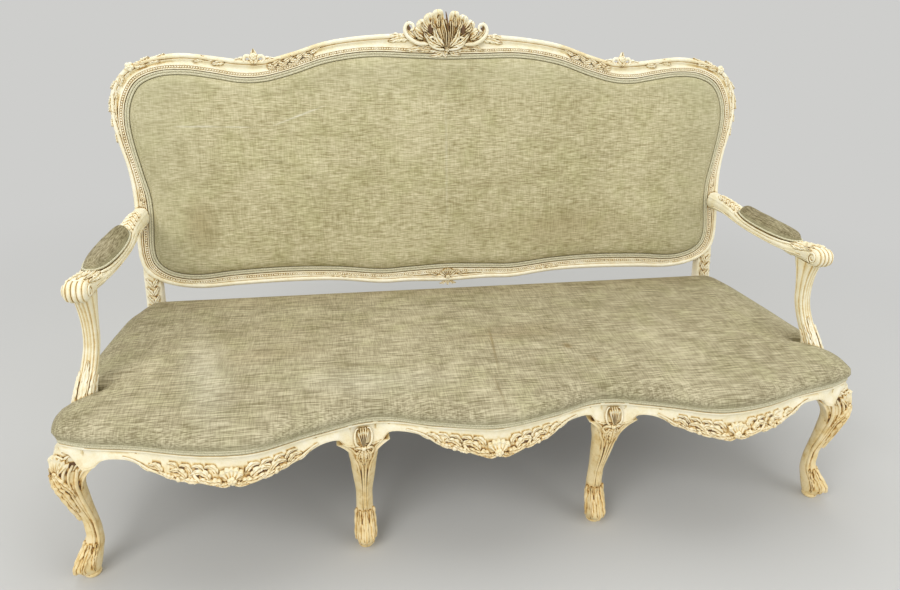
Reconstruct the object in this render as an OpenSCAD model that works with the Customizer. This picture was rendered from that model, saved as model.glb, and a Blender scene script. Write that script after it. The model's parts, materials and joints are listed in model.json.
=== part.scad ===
// Cabriole sofa, a French settee with a serpentine back frame, open padded arms and eight legs.
// The pieces are joined with pegged mortise and tenon joints. Millimetres, Z up.
// The origin is on the floor under the middle of the sofa, X runs along it and Y to the rear.

/* [Overall] */
// Width over the knees of the front corner legs
sofa_w = 1790; // [1500:10:2100]
// Height of the middle of the crest rail, without its shell
back_h = 1063; // [980:1:1120]
// How far the carved shell stands above the crest rail
crest_shell_h = 57; // [30:1:80]
// Depth from the belly of the front rail to the face of the back at its foot
seat_d = 653; // [600:1:760]

/* [Back frame] */
// How far the back frame stops short of the overall width at each end
back_inset = 45; // [10:1:120]
// Open gap between the seat rails and the back frame
back_gap = 52; // [34:1:88]
// Lean of the back, in degrees
back_tilt = 10.6; // [6:0.2:14]
// Thickness of the back frame from face to rear
frame_t = 36; // [28:1:46]
// Width of the wood behind the edge of the covered panel
rebate_w = 14; // [8:1:20]
// Width of the ledge outside the covered panel that carries the welt
welt_ledge_w = 14; // [11:1:18]

/* [Seat frame] */
// Height of the top of the seat rails
rail_top_h = 352; // [330:1:400]
// Thickness of the seat rails
rail_t = 46; // [36:1:56]
// Depth of the front apron at its tips
apron_d = 58; // [48:1:70]
// Depth of the rails beside the legs
rail_d = 36; // [30:1:44]
// How far the front rail bellies out in front of the legs
belly_d = 80; // [50:1:100]
// How far the apron swells out in front of the rail at its tips
apron_swell = 13; // [6:1:18]
// Depth of the plain rear rail
rear_rail_d = 60; // [50:1:80]

/* [Front legs] */
// How far the middle of a corner foot lies inside the overall width
corner_foot_inset = 23; // [0:1:60]
// Distance between the middles of the two inner front feet
inner_feet_w = 556; // [440:2:680]
// Setback of the front feet behind the belly of the front rail
front_feet_setback = 95; // [70:1:130]
// Side of the square block at the top of a leg
leg_block = 52; // [44:1:60]
// Width of a leg at its ankle
ankle_w = 31; // [26:1:38]
// Reach of the knee outward from the foot
knee_reach = 32; // [20:1:40]
// Diameter of the round pad under each foot
foot_pad_dia = 36; // [30:1:44]
// Height of the round pad under each foot
foot_pad_h = 9; // [6:1:14]

/* [Rear legs] */
// Width of the rear posts and legs
post_w = 44; // [38:1:52]
// Rake of the rear feet behind the face of the back
rear_rake = 120; // [60:1:140]
// Width of a rear foot
rear_foot_w = 34; // [28:1:40]

/* [Arms] */
// Height of the arm at its front scroll
arm_h = 634; // [600:1:700]
// Setback of the arm fronts behind the belly of the front rail
arm_setback = 217; // [180:1:260]
// Width of the arm at its front scroll
arm_w = 48; // [40:1:54]
// Thickness of the arm
arm_t = 34; // [28:1:42]
// Height of the pad above the arm
arm_pad_h = 24; // [16:1:32]
// Length of the arm pad
arm_pad_l = 236; // [180:2:280]
// Width of the arm support at its middle
arm_support_w = 38; // [32:1:46]

/* [Upholstery] */
// Height of the middle of the seat above the seat rails
seat_crown = 62; // [40:1:80]
// Width of the soft rolled edge of the seat
seat_edge_w = 60; // [40:1:80]
// Crown of the covered back panel
back_crown = 22; // [12:1:34]
// Thickness of the covers
cover_t = 1.6; // [1:0.1:2.5]
// Width of a webbing strap
web_w = 50; // [40:1:60]
// Thickness of the webbing
web_t = 1.5; // [1:0.1:2]
// Diameter of one cord of the double welt
welt_dia = 6; // [5:0.1:7]

/* [Joinery] */
// Thickness of the tenons
tenon_t = 12; // [10:0.5:14]
// Length of the tenons
tenon_l = 24; // [16:1:30]
// Diameter of the pegs that lock the joints
peg_dia = 6; // [5:0.5:8]
// Thickness of the corner blocks
block_t = 24; // [20:1:30]
// Diameter of the screws in the corner blocks
screw_dia = 5; // [4:0.5:6]

/* [Hidden] */
// Named clearances and overruns
fit_gap = 0.15;
soft_gap = 0.3;
// Thin sheets under the covers
hessian_t = 1;
cloth_t = 1.2;

// Places worked out from the driving dimensions
half_back_w = sofa_w / 2 - back_inset;
back_foot_h = rail_top_h + back_gap;
half_sofa_w = sofa_w / 2;
back_rise = (back_h - back_foot_h) / cos(back_tilt);
top_rake = (back_h + crest_shell_h - back_foot_h) * tan(back_tilt);
sofa_d = apron_swell + seat_d + top_rake + frame_t;
front_y = apron_swell - sofa_d / 2;
back_y = front_y + seat_d;
rail_line_y = front_y + belly_d;
foot_y = front_y + front_feet_setback;
corner_x = sofa_w / 2 - corner_foot_inset;
inner_x = inner_feet_w / 2;
block_inset = leg_block / 2 - apron_swell / 4;
corner_block_x = corner_x - block_inset;
front_block_y = foot_y + block_inset;
block_rear_y = front_block_y + leg_block / 2;
post_x = half_back_w - post_w * 1.2;
post_y = back_y + frame_t / 2 - (back_foot_h - rail_top_h) * tan(back_tilt);
rear_foot_y = back_y + rear_rake;
tenon_h = rail_d * 2 / 3;
tenon_z = rail_top_h - rail_d / 2;

// Point between a and b at the share t
function mix(a, b, t) = a + (b - a) * t;

// Catmull-Rom curve through the points p, with n steps between two of them
function curve_at(a, b, c, d, t) =
    0.5 * (2 * b + (c - a) * t + (2 * a - 5 * b + 4 * c - d) * t * t
    + (3 * b - a - 3 * c + d) * t * t * t);
function spline(p, n) =
    let (m = len(p))
    [for (i = [0:m - 2]) for (k = [0:n - 1])
        curve_at(p[max(i - 1, 0)], p[i], p[i + 1], p[min(i + 2, m - 1)], k / n),
     p[m - 1]];
function closed_spline(p, n) =
    let (m = len(p))
    [for (i = [0:m - 1]) for (k = [0:n - 1])
        curve_at(p[(i + m - 1) % m], p[i], p[(i + 1) % m], p[(i + 2) % m], k / n)];

// Solid through a row of rings with as many points each, counterclockwise seen from its far end
function middle(ring) = [for (p = ring) 1 / len(ring)] * ring;
module loft(rings, closed = false) {
    m = len(rings);
    n = len(rings[0]);
    sides = [for (i = [0:m - (closed ? 1 : 2)]) for (j = [0:n - 1])
        let (a = i * n + j, b = i * n + (j + 1) % n)
        let (c = ((i + 1) % m) * n + (j + 1) % n, d = ((i + 1) % m) * n + j)
        each [[a, c, b], [a, d, c]]];
    top = (m - 1) * n;
    hub = m * n;
    caps = closed ? [] :
        [for (j = [0:n - 1]) let (k = (j + 1) % n)
            each [[hub, j, k], [hub + 1, top + k, top + j]]];
    points = concat([for (r = rings) each r], closed ? [] : [middle(rings[0]), middle(rings[m - 1])]);
    polyhedron(points, concat(sides, caps), convexity = 8);
}

// A box given by its middle
module block_at(c, size) {
    translate(c) cube(size, center = true);
}

// Outline of the back frame, from the bottom middle round to the top middle:
// inner x, inner height, outer x, outer height, as shares of half the width and of the rise
back_outline_shares = [
    [0, 0.080, 0, 0.004], [0.13, 0.074, 0.13, 0.009], [0.225, 0.070, 0.225, 0.008],
    [0.365, 0.088, 0.367, 0.028], [0.52, 0.095, 0.52, 0.032], [0.68, 0.089, 0.677, 0.027],
    [0.79, 0.078, 0.788, 0.021], [0.86, 0.090, 0.876, 0.038], [0.904, 0.124, 0.941, 0.080],
    [0.919, 0.183, 0.967, 0.153], [0.912, 0.312, 0.966, 0.305], [0.913, 0.395, 0.964, 0.403],
    [0.926, 0.480, 0.971, 0.505], [0.943, 0.600, 0.990, 0.615], [0.947, 0.680, 0.998, 0.700],
    [0.936, 0.748, 0.988, 0.789], [0.905, 0.806, 0.946, 0.862], [0.847, 0.836, 0.875, 0.902],
    [0.776, 0.840, 0.790, 0.918], [0.706, 0.829, 0.709, 0.910], [0.624, 0.813, 0.624, 0.898],
    [0.553, 0.817, 0.553, 0.898], [0.471, 0.843, 0.471, 0.924], [0.365, 0.886, 0.365, 0.966],
    [0.240, 0.909, 0.241, 0.989], [0.10, 0.906, 0.10, 0.999], [0, 0.903, 0, 1]
];
last_station = len(back_outline_shares) - 1;
rail_end_station = 7;
crest_end_station = 16;
back_scale = [half_back_w, back_rise, half_back_w, back_rise];
function scaled(p, s) = [for (k = [0:len(p) - 1]) p[k] * s[k]];
right_stations = [for (p = back_outline_shares) scaled(p, back_scale)];
left_stations = [for (k = [last_station - 1:-1:1])
    let (p = right_stations[k]) [-p[0], p[1], -p[2], p[3]]];
station_steps = 2;
back_loop = closed_spline(concat(right_stations, left_stations), station_steps);
loop_len = len(back_loop);

// Places a shape drawn flat, x across, y up the back and z out of its face, on the leaning back
module on_back() {
    translate([0, back_y, back_foot_h]) rotate([90 - back_tilt, 0, 0]) children();
}

// Moulded section of the back frame: ledge for the welt, bead, cove and outer roll
bead_h = 6;
cove_h = 1.5;
roll_h = 5;
ledge_drop = 2;
back_round = 7;
function back_ring(k) =
    let (s = back_loop[(k + loop_len) % loop_len])
    let (inner = [s[0], s[1]], outer = [s[2], s[3]], w = norm(outer - inner))
    let (e = (outer - inner) / w, f = w - welt_ledge_w)
    let (section = [
        [-rebate_w, -frame_t], [-rebate_w, -ledge_drop], [welt_ledge_w, -ledge_drop],
        [welt_ledge_w, bead_h * 0.7], [welt_ledge_w + f * 0.12, bead_h],
        [welt_ledge_w + f * 0.26, cove_h], [welt_ledge_w + f * 0.60, cove_h],
        [welt_ledge_w + f * 0.70, roll_h], [welt_ledge_w + f * 0.88, roll_h],
        [w, 0], [w, back_round - frame_t], [w - back_round, -frame_t]
    ])
    [for (q = section) [inner[0] + e[0] * q[0], inner[1] + e[1] * q[0], q[1]]];

// Inner edge of the covered panel, drawn in by d
function panel_edge(d) =
    let (mid = back_rise * 0.49)
    [for (k = [0:station_steps:loop_len - 1])
        let (s = back_loop[k])
        [s[0] * (1 - d / half_back_w), mid + (s[1] - mid) * (1 - d / (back_rise * 0.41))]];

// Round-cornered tenons between the members of the back frame, grown into their section
tenon_root = 4;
function clamp(v) = max(-1, min(1, v));
function tenon_ring(k, out, gap) =
    let (s = back_loop[(k + loop_len) % loop_len], n = back_loop[(k + 1 + loop_len) % loop_len])
    let (inner = [s[0], s[1]], outer = [s[2], s[3]], e = (outer - inner) / norm(outer - inner))
    let (run = [n[0] + n[2], n[1] + n[3]] - inner - outer, t = run / norm(run))
    let (c = (inner + outer) / 2 + t * out, hw = welt_ledge_w * 0.65 + gap, ht = tenon_t / 2 + gap)
    [for (j = [0:11]) let (a = 225 - j * 30, q = clamp(cos(a) * 1.3) * hw)
        [c[0] + e[0] * q, c[1] + e[1] * q, clamp(sin(a) * 1.3) * ht - frame_t / 2]];
module back_mortise(station) {
    s = back_loop[station * station_steps];
    n = back_loop[station * station_steps + 1];
    run = [n[0] - s[0] + n[2] - s[2], n[1] - s[1] + n[3] - s[3]];
    translate([(s[0] + s[2]) / 2, (s[1] + s[3]) / 2, -frame_t / 2])
        rotate([0, 0, atan2(run[1], run[0])])
            block_at([(tenon_l - tenon_root) / 2, 0, 0], [tenon_l + tenon_root + fit_gap * 2,
                welt_ledge_w * 1.3 + fit_gap * 2, tenon_t + fit_gap * 2]);
}
module back_member(from, to, start_tenon, end_tenon) {
    k0 = from * station_steps;
    k1 = to * station_steps;
    loft(concat(
        start_tenon ? [tenon_ring(k0, -tenon_l, 0), tenon_ring(k0, 0, 0)] : [],
        [for (k = [k0:k1]) back_ring(k)],
        end_tenon ? [tenon_ring(k1, 0, 0), tenon_ring(k1, tenon_l, 0)] : []));
}

// Scallop shell on the crest: ribs fan out from its foot and its rim is lobed
shell_w = 232;
shell_ribs = 9;
shell_t = 17;
shell_foot_share = 0.30;
function shell_rim(a) =
    (1 - 0.10 * pow(abs(sin(a * shell_ribs / 2)), 2))
    * (1 - 0.24 * pow(abs(cos(a)), 3));
function shell_ring(r) =
    [for (a = [0:6:354])
        let (rim = shell_rim(a), lift = a <= 180 ? 1 : shell_foot_share)
        [cos(a) * rim * shell_w / 2 * r, sin(a) * rim * crest_shell_h * 0.98 * r * lift]];
shell_lip = 4;
shell_rib = 2.2;
module crest_shell() {
    rows = [[1, -frame_t * 0.55], [1, -frame_t * 0.25], [0.94, shell_lip], [0.72, shell_t * 0.72],
        [0.44, shell_t], [0.16, shell_t * 0.8]];
    translate([0, back_rise, 0])
        loft([for (q = rows) let (ring = shell_ring(q[0]))
            [for (i = [0:len(ring) - 1])
                let (rib = q[0] > 0.3 && q[0] < 1 ? shell_rib * cos(i * 6 * shell_ribs) : 0)
                [ring[i][0], ring[i][1], q[1] + rib]]]);
}

module crest_rail() {
    color("antiquewhite") on_back() difference() {
        union() {
            back_member(crest_end_station, 2 * last_station - crest_end_station, false, false);
            crest_shell();
        }
        for (side = [0, 1]) mirror([side, 0, 0]) back_mortise(crest_end_station);
        muntin_at(fit_gap, true);
    }
}

module lower_back_rail() {
    color("antiquewhite") on_back() difference() {
        back_member(-rail_end_station, rail_end_station, true, true);
        muntin_at(fit_gap, true);
    }
}

// Rear post: goes down from the back frame past the seat rails to the raked foot
// height, place across, place along Y, half width and half depth
function square_ring(c, hw, hd, r) =
    [for (q = [[-1, -1, 0], [-1, -1, 1], [1, -1, 1], [1, -1, 0], [1, 1, 0], [1, 1, 1],
        [-1, 1, 1], [-1, 1, 0]])
        [c[0] + q[0] * (hw - (q[2] == 1 ? r : 0)),
         c[1] + q[1] * (hd - (q[2] == 1 ? 0 : r)), c[2]]];
edge_r = 6;
function tilt_at(z) = (z - back_foot_h) * tan(back_tilt);
post_top_z = back_foot_h + back_rise * 0.15;
rear_pad_h = foot_pad_h;
post_places = [
    [post_top_z, 0, frame_t / 2 + tilt_at(post_top_z), 0.42, 0.38],
    [back_foot_h + back_rise * 0.08, 0, frame_t / 2 + tilt_at(back_foot_h + back_rise * 0.08), 0.5, 0.4],
    [back_foot_h, 0, frame_t / 2, 0.5, 0.42],
    [rail_top_h, 0, post_y - back_y, 0.5, 0.5],
    [rail_top_h - rear_rail_d, 0, post_y - back_y, 0.5, 0.5],
    [rail_top_h * 0.62, 0, mix(post_y - back_y, rear_rake, 0.12), 0.46, 0.46],
    [rail_top_h * 0.42, 0, mix(post_y - back_y, rear_rake, 0.42), 0.41, 0.41],
    [rail_top_h * 0.20, 0, mix(post_y - back_y, rear_rake, 0.80), 0.37, 0.37],
    [rear_pad_h, 0, rear_rake, 0.38, 0.38]
];
module rear_post() {
    loft([for (k = [len(post_places) - 1:-1:0]) let (p = post_places[k])
        square_ring([post_x, back_y + p[2], p[0]], post_w * p[3], post_w * p[4], edge_r)]);
    translate([post_x, rear_foot_y, 0]) cylinder(d = rear_foot_w, h = rear_pad_h + edge_r);
}
module stile() {
    difference() {
        union() {
            on_back() difference() {
                back_member(rail_end_station, crest_end_station, false, true);
                back_mortise(rail_end_station);
            }
            rear_post();
        }
        side_rail_tenon(rear_end, fit_gap);
        rear_rail_tenon(fit_gap);
        rear_pegs(peg_dia + fit_gap * 2);
        arm_dowels(fit_gap);
    }
}
module stile_right() {
    color("antiquewhite") stile();
}
module stile_left() {
    color("antiquewhite") mirror([1, 0, 0]) stile();
}

// Front plan of the seat: place across as a share of half the sofa, bulge as a share of the belly
front_plan_shares = [
    [0, 0.84], [0.14, 0.52], [0.24, 0.13], [0.31, 0.10], [0.375, 0.30], [0.445, 0.56],
    [0.535, 0.94], [0.60, 1], [0.69, 0.85], [0.80, 0.48], [0.89, 0.27], [0.975, 0.06]
];
// Depth of the apron below the rail depth beside the legs, as a share of what its tip adds
apron_shares = [
    [0, 1], [0.045, 0.94], [0.10, 0.62], [0.15, 0.20], [0.20, 0.02], [0.25, 0.10], [0.282, 0.62],
    [0.34, 0.62], [0.37, 0.10], [0.42, 0.12], [0.48, 0.48], [0.545, 0.94], [0.60, 1],
    [0.655, 0.96], [0.71, 0.84], [0.77, 0.36], [0.83, 0.02], [0.88, 0.12], [0.925, 0.66]
];
function share_at(table, s) =
    let (k = len([for (q = table) if (q[0] <= s) 1]) - 1, last = len(table) - 1)
    k >= last ? table[last][1] :
    let (t = (s - table[k][0]) / (table[k + 1][0] - table[k][0]))
    let (a = table[max(k - 1, 0)][1], d = table[min(k + 2, last)][1])
    curve_at(a, table[k][1], table[k + 1][1], d, t);
function front_line_y(x) =
    rail_line_y - belly_d * share_at(front_plan_shares, abs(x) / half_sofa_w);
function apron_add(x) = max(0, share_at(apron_shares, abs(x) / half_sofa_w));

// Moulded front rail between two places across the sofa
fillet_d = 7;
function front_ring(x, x0, x1) =
    let (y = front_line_y(x), grow = apron_add(x), d = rail_d + (apron_d - rail_d) * grow)
    let (s = (x - x0) / (x1 - x0), mid = min(1, 5 * s * (1 - s)))
    let (rear = mix(block_rear_y, y + rail_t + apron_swell, mid * min(1, belly_d / rail_t)))
    let (swell = apron_swell * (0.35 + 0.65 * grow))
    [
        [x, rear, rail_top_h], [x, y + edge_r, rail_top_h], [x, y, rail_top_h - fillet_d / 3],
        [x, y, rail_top_h - fillet_d], [x, y + fillet_d / 2, rail_top_h - d * 0.35],
        [x, y - swell * 0.5, rail_top_h - d * 0.62], [x, y - swell, rail_top_h - d * 0.86],
        [x, y - swell + edge_r / 2, rail_top_h - d], [x, rear, rail_top_h - d]
    ];
rail_steps = 16;
module front_rail(x0, x1) {
    loft([for (k = [0:rail_steps]) let (x = mix(x0, x1, k / rail_steps)) front_ring(x, x0, x1)]);
}
outer_rail_x1 = corner_block_x - leg_block / 2;
outer_rail_x0 = inner_x + leg_block / 2;
inner_rail_x1 = inner_x - leg_block / 2;
module front_tenon(x, gap) {
    block_at([x, front_block_y, tenon_z], [tenon_l * 2 + gap * 2, tenon_t + gap * 2, tenon_h + gap * 2]);
}
module front_outer_rail() {
    difference() {
        union() {
            front_rail(outer_rail_x0, outer_rail_x1);
            front_tenon(outer_rail_x0, 0);
            front_tenon(outer_rail_x1, 0);
        }
        front_pegs(peg_dia + fit_gap * 2);
    }
}
module front_rail_right() {
    color("antiquewhite") front_outer_rail();
}
module front_rail_left() {
    color("antiquewhite") mirror([1, 0, 0]) front_outer_rail();
}
module front_rail_centre() {
    color("antiquewhite") difference() {
        union() {
            front_rail(-inner_rail_x1, inner_rail_x1);
            for (side = [-1, 1]) front_tenon(side * inner_rail_x1, 0);
        }
        for (side = [0, 1]) mirror([side, 0, 0]) front_pegs(peg_dia + fit_gap * 2);
    }
}

// Cabriole leg: height as a share of the rail height, then, as shares of the knee reach,
// how far the middle stands out, half the depth, half the width beside the block
leg_shares = [
    [0.955, -0.66, 0.80, 0.80], [0.86, -0.45, 0.98, 0.96], [0.745, -0.12, 0.92, 0.88],
    [0.665, -0.12, 0.75, 0.74], [0.53, -0.37, 0.54, 0.56], [0.40, -0.66, 0.43, 0.46],
    [0.325, -0.72, 0.45, 0.46], [0.27, -0.71, 0.48, 0.48], [0.21, -0.57, 0.62, 0.54],
    [0.145, -0.18, 0.86, 0.60], [0.085, 0.10, 0.95, 0.62], [0.045, 0.05, 0.74, 0.56],
    [0.02, 0, 0.55, 0.5]
];
leg_sides = 12;
leg_ridge = 0.10;
// Ring round c on the outward direction u, with a soft ridge down its outer line
function leg_ring(c, u, depth, width, z) =
    let (v = [-u[1], u[0]])
    [for (j = [0:leg_sides - 1])
        let (a = j * 360 / leg_sides)
        let (ridge = 1 + leg_ridge * pow(max(0, cos(a)), 6))
        let (q = c + u * cos(a) * depth * ridge + v * sin(a) * width)
        [q[0], q[1], z]];
// The head of an inner leg is narrower than its shaft, to fit between the rails
leg_head_share = 0.8;
module cabriole_leg(foot, u, head_width_share, shaft_width_share) {
    loft([for (k = [len(leg_shares) - 1:-1:0])
        let (p = leg_shares[k])
        let (width_share = p[0] > leg_head_share ? head_width_share : shaft_width_share)
        let (girth = p[0] < 0.45 ? ankle_w : knee_reach)
        leg_ring(foot + u * p[1] * knee_reach, u, p[2] * girth,
            p[3] * girth * width_share, p[0] * rail_top_h)]);
    translate([foot[0], foot[1], 0])
        cylinder(d = foot_pad_dia, h = foot_pad_h + edge_r);
}
module leg_head(x) {
    block_at([x, front_block_y, rail_top_h - apron_d / 2], [leg_block, leg_block, apron_d]);
}

module corner_leg() {
    difference() {
        union() {
            cabriole_leg([corner_x, foot_y], [1, -1] / sqrt(2), 1, 1);
            leg_head(corner_block_x);
        }
        front_tenon(outer_rail_x1, fit_gap);
        side_rail_tenon(front_end, fit_gap);
        front_pegs(peg_dia + fit_gap * 2);
        side_pegs(peg_dia + fit_gap * 2);
    }
}
module front_leg_outer_right() {
    color("antiquewhite") corner_leg();
}
module front_leg_outer_left() {
    color("antiquewhite") mirror([1, 0, 0]) corner_leg();
}
module middle_leg() {
    difference() {
        union() {
            cabriole_leg([inner_x, foot_y], [0, -1], 0.8, 1.15);
            leg_head(inner_x);
        }
        front_tenon(outer_rail_x0, fit_gap);
        front_tenon(inner_rail_x1, fit_gap);
        cross_tenon(0, fit_gap);
        front_pegs(peg_dia + fit_gap * 2);
    }
}
module front_leg_inner_right() {
    color("antiquewhite") middle_leg();
}
module front_leg_inner_left() {
    color("antiquewhite") mirror([1, 0, 0]) middle_leg();
}

// Side rails run from the corner legs to the rear posts
rear_end = 1;
front_end = 0;
side_x0 = corner_block_x;
side_y0 = block_rear_y;
side_x1 = post_x;
side_y1 = post_y - post_w / 2;
side_len = norm([side_x1 - side_x0, side_y1 - side_y0]);
side_turn = atan2(side_x0 - side_x1, side_y1 - side_y0);
side_bow = 14;
side_steps = 12;
// Place on the side rail: share along it, distance out from its middle line
function side_at(s, out) =
    let (x = mix(side_x0, side_x1, s) + side_bow * sin(180 * s))
    [x + out, mix(side_y0, side_y1, s)];
function side_ring(s) =
    let (dip = pow(sin(180 * s), 2), d = rail_d + (apron_d - rail_d) * 0.55 * dip)
    let (swell = apron_swell * (0.3 + 0.7 * dip), y = mix(side_y0, side_y1, s))
    let (outer = side_at(s, rail_t / 2)[0], inner = side_at(s, -rail_t / 2)[0])
    [
        [inner, y, rail_top_h], [outer - edge_r, y, rail_top_h],
        [outer, y, rail_top_h - fillet_d / 3], [outer, y, rail_top_h - fillet_d],
        [outer - fillet_d / 2, y, rail_top_h - d * 0.35],
        [outer + swell * 0.4, y, rail_top_h - d * 0.62],
        [outer + swell * 0.8, y, rail_top_h - d * 0.86],
        [outer + swell * 0.8 - edge_r / 2, y, rail_top_h - d], [inner, y, rail_top_h - d]
    ];
module side_rail_tenon(end, gap) {
    s = end == rear_end ? 1 : 0;
    block_at([side_at(s, 0)[0], side_at(s, 0)[1], tenon_z],
        [tenon_t + gap * 2, tenon_l * 2 + gap * 2, tenon_h + gap * 2]);
}
module side_rail() {
    difference() {
        union() {
            loft([for (k = [0:side_steps]) side_ring(k / side_steps)]);
            side_rail_tenon(front_end, 0);
            side_rail_tenon(rear_end, 0);
        }
        support_tenon(fit_gap);
        block_screws(fit_gap);
        side_pegs(peg_dia + fit_gap * 2);
    }
}
module side_rail_right() {
    color("antiquewhite") side_rail();
}
module side_rail_left() {
    color("antiquewhite") mirror([1, 0, 0]) side_rail();
}

// Plain rear rail between the posts, with sockets for the two inner rear legs
rear_rail_x1 = post_x - post_w / 2;
module rear_rail_tenon(gap) {
    block_at([rear_rail_x1, post_y, rail_top_h - rear_rail_d / 2],
        [tenon_l * 2 + gap * 2, tenon_t + gap * 2, rear_rail_d * 0.6 + gap * 2]);
}
module rear_leg_tenon(gap) {
    block_at([inner_x, post_y, rail_top_h - rear_rail_d],
        [rear_foot_w * 0.8 + gap * 2, tenon_t + gap * 2, tenon_l * 2 + gap * 2]);
}
module rear_rail() {
    color("burlywood") difference() {
        union() {
            block_at([0, post_y, rail_top_h - rear_rail_d / 2],
                [rear_rail_x1 * 2, rail_t, rear_rail_d]);
            for (side = [0, 1]) mirror([side, 0, 0]) rear_rail_tenon(0);
        }
        for (side = [0, 1]) mirror([side, 0, 0]) rear_leg_tenon(fit_gap);
        for (side = [0, 1]) mirror([side, 0, 0]) cross_tenon(1, fit_gap);
        for (side = [0, 1]) mirror([side, 0, 0]) rear_pegs(peg_dia + fit_gap * 2);
    }
}
module rear_inner_leg() {
    top_z = rail_top_h - rear_rail_d;
    loft([for (p = [[foot_pad_h, rear_foot_y, 0.40], [top_z * 0.25, mix(post_y, rear_foot_y, 0.8), 0.39],
        [top_z * 0.55, mix(post_y, rear_foot_y, 0.38), 0.42],
        [top_z * 0.82, mix(post_y, rear_foot_y, 0.06), 0.47], [top_z, post_y, 0.5]])
        square_ring([inner_x, p[1], p[0]], rail_t * p[2], rail_t * p[2], edge_r)]);
    translate([inner_x, rear_foot_y, 0]) cylinder(d = rear_foot_w, h = foot_pad_h + edge_r);
    rear_leg_tenon(0);
}
module rear_leg_inner_right() {
    color("antiquewhite") rear_inner_leg();
}
module rear_leg_inner_left() {
    color("antiquewhite") mirror([1, 0, 0]) rear_inner_leg();
}

// Cross rails tie the inner front legs to the rear rail under the webbing
cross_t = 26;
cross_y0 = block_rear_y;
cross_y1 = post_y - rail_t / 2;
cross_drop = 16;
cross_z = rail_top_h - cross_drop - rail_d / 2;
module cross_tenon(end, gap) {
    block_at([inner_x, end == 1 ? cross_y1 : cross_y0, cross_z],
        [tenon_t + gap * 2, tenon_l + gap * 2, rail_d * 0.6 + gap * 2]);
}
module cross_rail() {
    block_at([inner_x, (cross_y0 + cross_y1) / 2, cross_z], [cross_t, cross_y1 - cross_y0, rail_d]);
    cross_tenon(0, 0);
    cross_tenon(1, 0);
}
module cross_rail_right() {
    color("burlywood") cross_rail();
}
module cross_rail_left() {
    color("burlywood") mirror([1, 0, 0]) cross_rail();
}

// Pegs across the tenons, driven from the inner faces
peg_l = leg_block * 0.8;
peg_lift = tenon_h / 4;
module front_pegs(d) {
    for (x = [outer_rail_x1 + tenon_l / 2, outer_rail_x0 - tenon_l / 2, inner_rail_x1 + tenon_l / 2])
        translate([x, block_rear_y, tenon_z + peg_lift])
            rotate([90, 0, 0]) cylinder(d = d, h = peg_l, $fn = 48);
}
module side_pegs(d) {
    translate([corner_block_x - leg_block / 2, side_y0 - tenon_l / 2, tenon_z - peg_lift])
        rotate([0, 90, 0]) cylinder(d = d, h = peg_l, $fn = 48);
}
module rear_pegs(d) {
    translate([rear_rail_x1 + tenon_l / 2, post_y + post_w / 2, rail_top_h - rear_rail_d / 2])
        rotate([90, 0, 0]) cylinder(d = d, h = post_w * 0.8, $fn = 48);
}
module joint_pegs() {
    color("tan") for (side = [0, 1]) mirror([side, 0, 0]) {
        front_pegs(peg_dia);
        side_pegs(peg_dia);
        rear_pegs(peg_dia);
    }
}

// Corner blocks screwed to the side rails behind the corner legs and before the rear posts
block_reach = 62;
block_drop = 20;
block_share = block_reach / side_len;
screw_grip = 14;
screw_head_share = 1.8;
block_z = rail_top_h - block_drop - block_t;
// Front edge or rear edge of a block, and the inner face of the side rail at the share s
function block_y0(front) = front ? block_rear_y + soft_gap : post_y - rail_t / 2 - soft_gap;
function side_inner(s) = side_at(s, -rail_t / 2);
module corner_block_outline(front) {
    near = side_inner(front ? 0 : 1);
    far = side_inner(front ? block_share : 1 - block_share);
    polygon([[near[0] - soft_gap, block_y0(front)], [far[0] - soft_gap, far[1]],
        [near[0] - block_reach, block_y0(front)]]);
}
module block_screws(gap) {
    for (front = [true, false]) for (k = [0.22, 0.46]) {
        turn = front ? 1 : -1;
        near = side_inner(front ? 0 : 1);
        deep = block_reach * (1 - k) - screw_dia * 2;
        translate([near[0] - deep, block_y0(front) + turn * block_reach * k, block_z + block_t / 2])
            rotate([0, 90, 0]) {
                cylinder(d = screw_dia + gap * 2, h = deep + screw_grip + gap, $fn = 32);
                translate([0, 0, -screw_dia * 2]) cylinder(d = screw_dia * screw_head_share + gap * 2,
                    h = screw_dia * 3 + gap, $fn = 32);
            }
    }
}
module corner_blocks() {
    color("burlywood") for (side = [0, 1]) mirror([side, 0, 0]) difference() {
        for (front = [true, false])
            translate([0, 0, block_z]) linear_extrude(block_t) corner_block_outline(front);
        block_screws(fit_gap);
    }
}
module corner_block_screws() {
    color("dimgray") for (side = [0, 1]) mirror([side, 0, 0]) block_screws(0);
}

// Arm from the support to the rear post: share along it, then half width and half thickness
// as shares, and how far its middle stands above the line between its ends
arm_front_y = front_y + arm_setback - arm_t / 4;
support_foot_x = side_at(0.12, 0)[0];
support_foot_y = side_at(0.12, 0)[1];
support_top_share = 1.52;
support_y = support_foot_y + arm_support_w * support_top_share;
support_top_drop_share = 0.42;
arm_front_x = half_sofa_w - arm_w * 1.45;
arm_rear_x = post_x + post_w / 6;
arm_rear_h = arm_h - arm_t * 0.65;
arm_bow = 4;
arm_z = arm_h - arm_t * 0.75;
support_top_z = arm_z - arm_t * support_top_drop_share;
arm_rear_y = back_y + tilt_at(arm_rear_h) - (bead_h + fit_gap) / cos(back_tilt);
arm_table = [
    [-0.02, 0.30, 0.36, 0.16], [0.0, 0.42, 0.52, 0.20], [0.05, 0.50, 0.58, 0.24], [0.12, 0.52, 0.50, 0.12],
    [0.19, 0.54, 0.46, -0.04], [0.26, 0.62, 0.46, -0.14], [0.40, 0.68, 0.45, -0.20], [0.58, 0.67, 0.45, -0.20],
    [0.70, 0.58, 0.50, -0.12], [0.78, 0.47, 0.58, -0.02], [0.88, 0.43, 0.66, 0.04], [1, 0.42, 0.74, 0]
];
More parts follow.
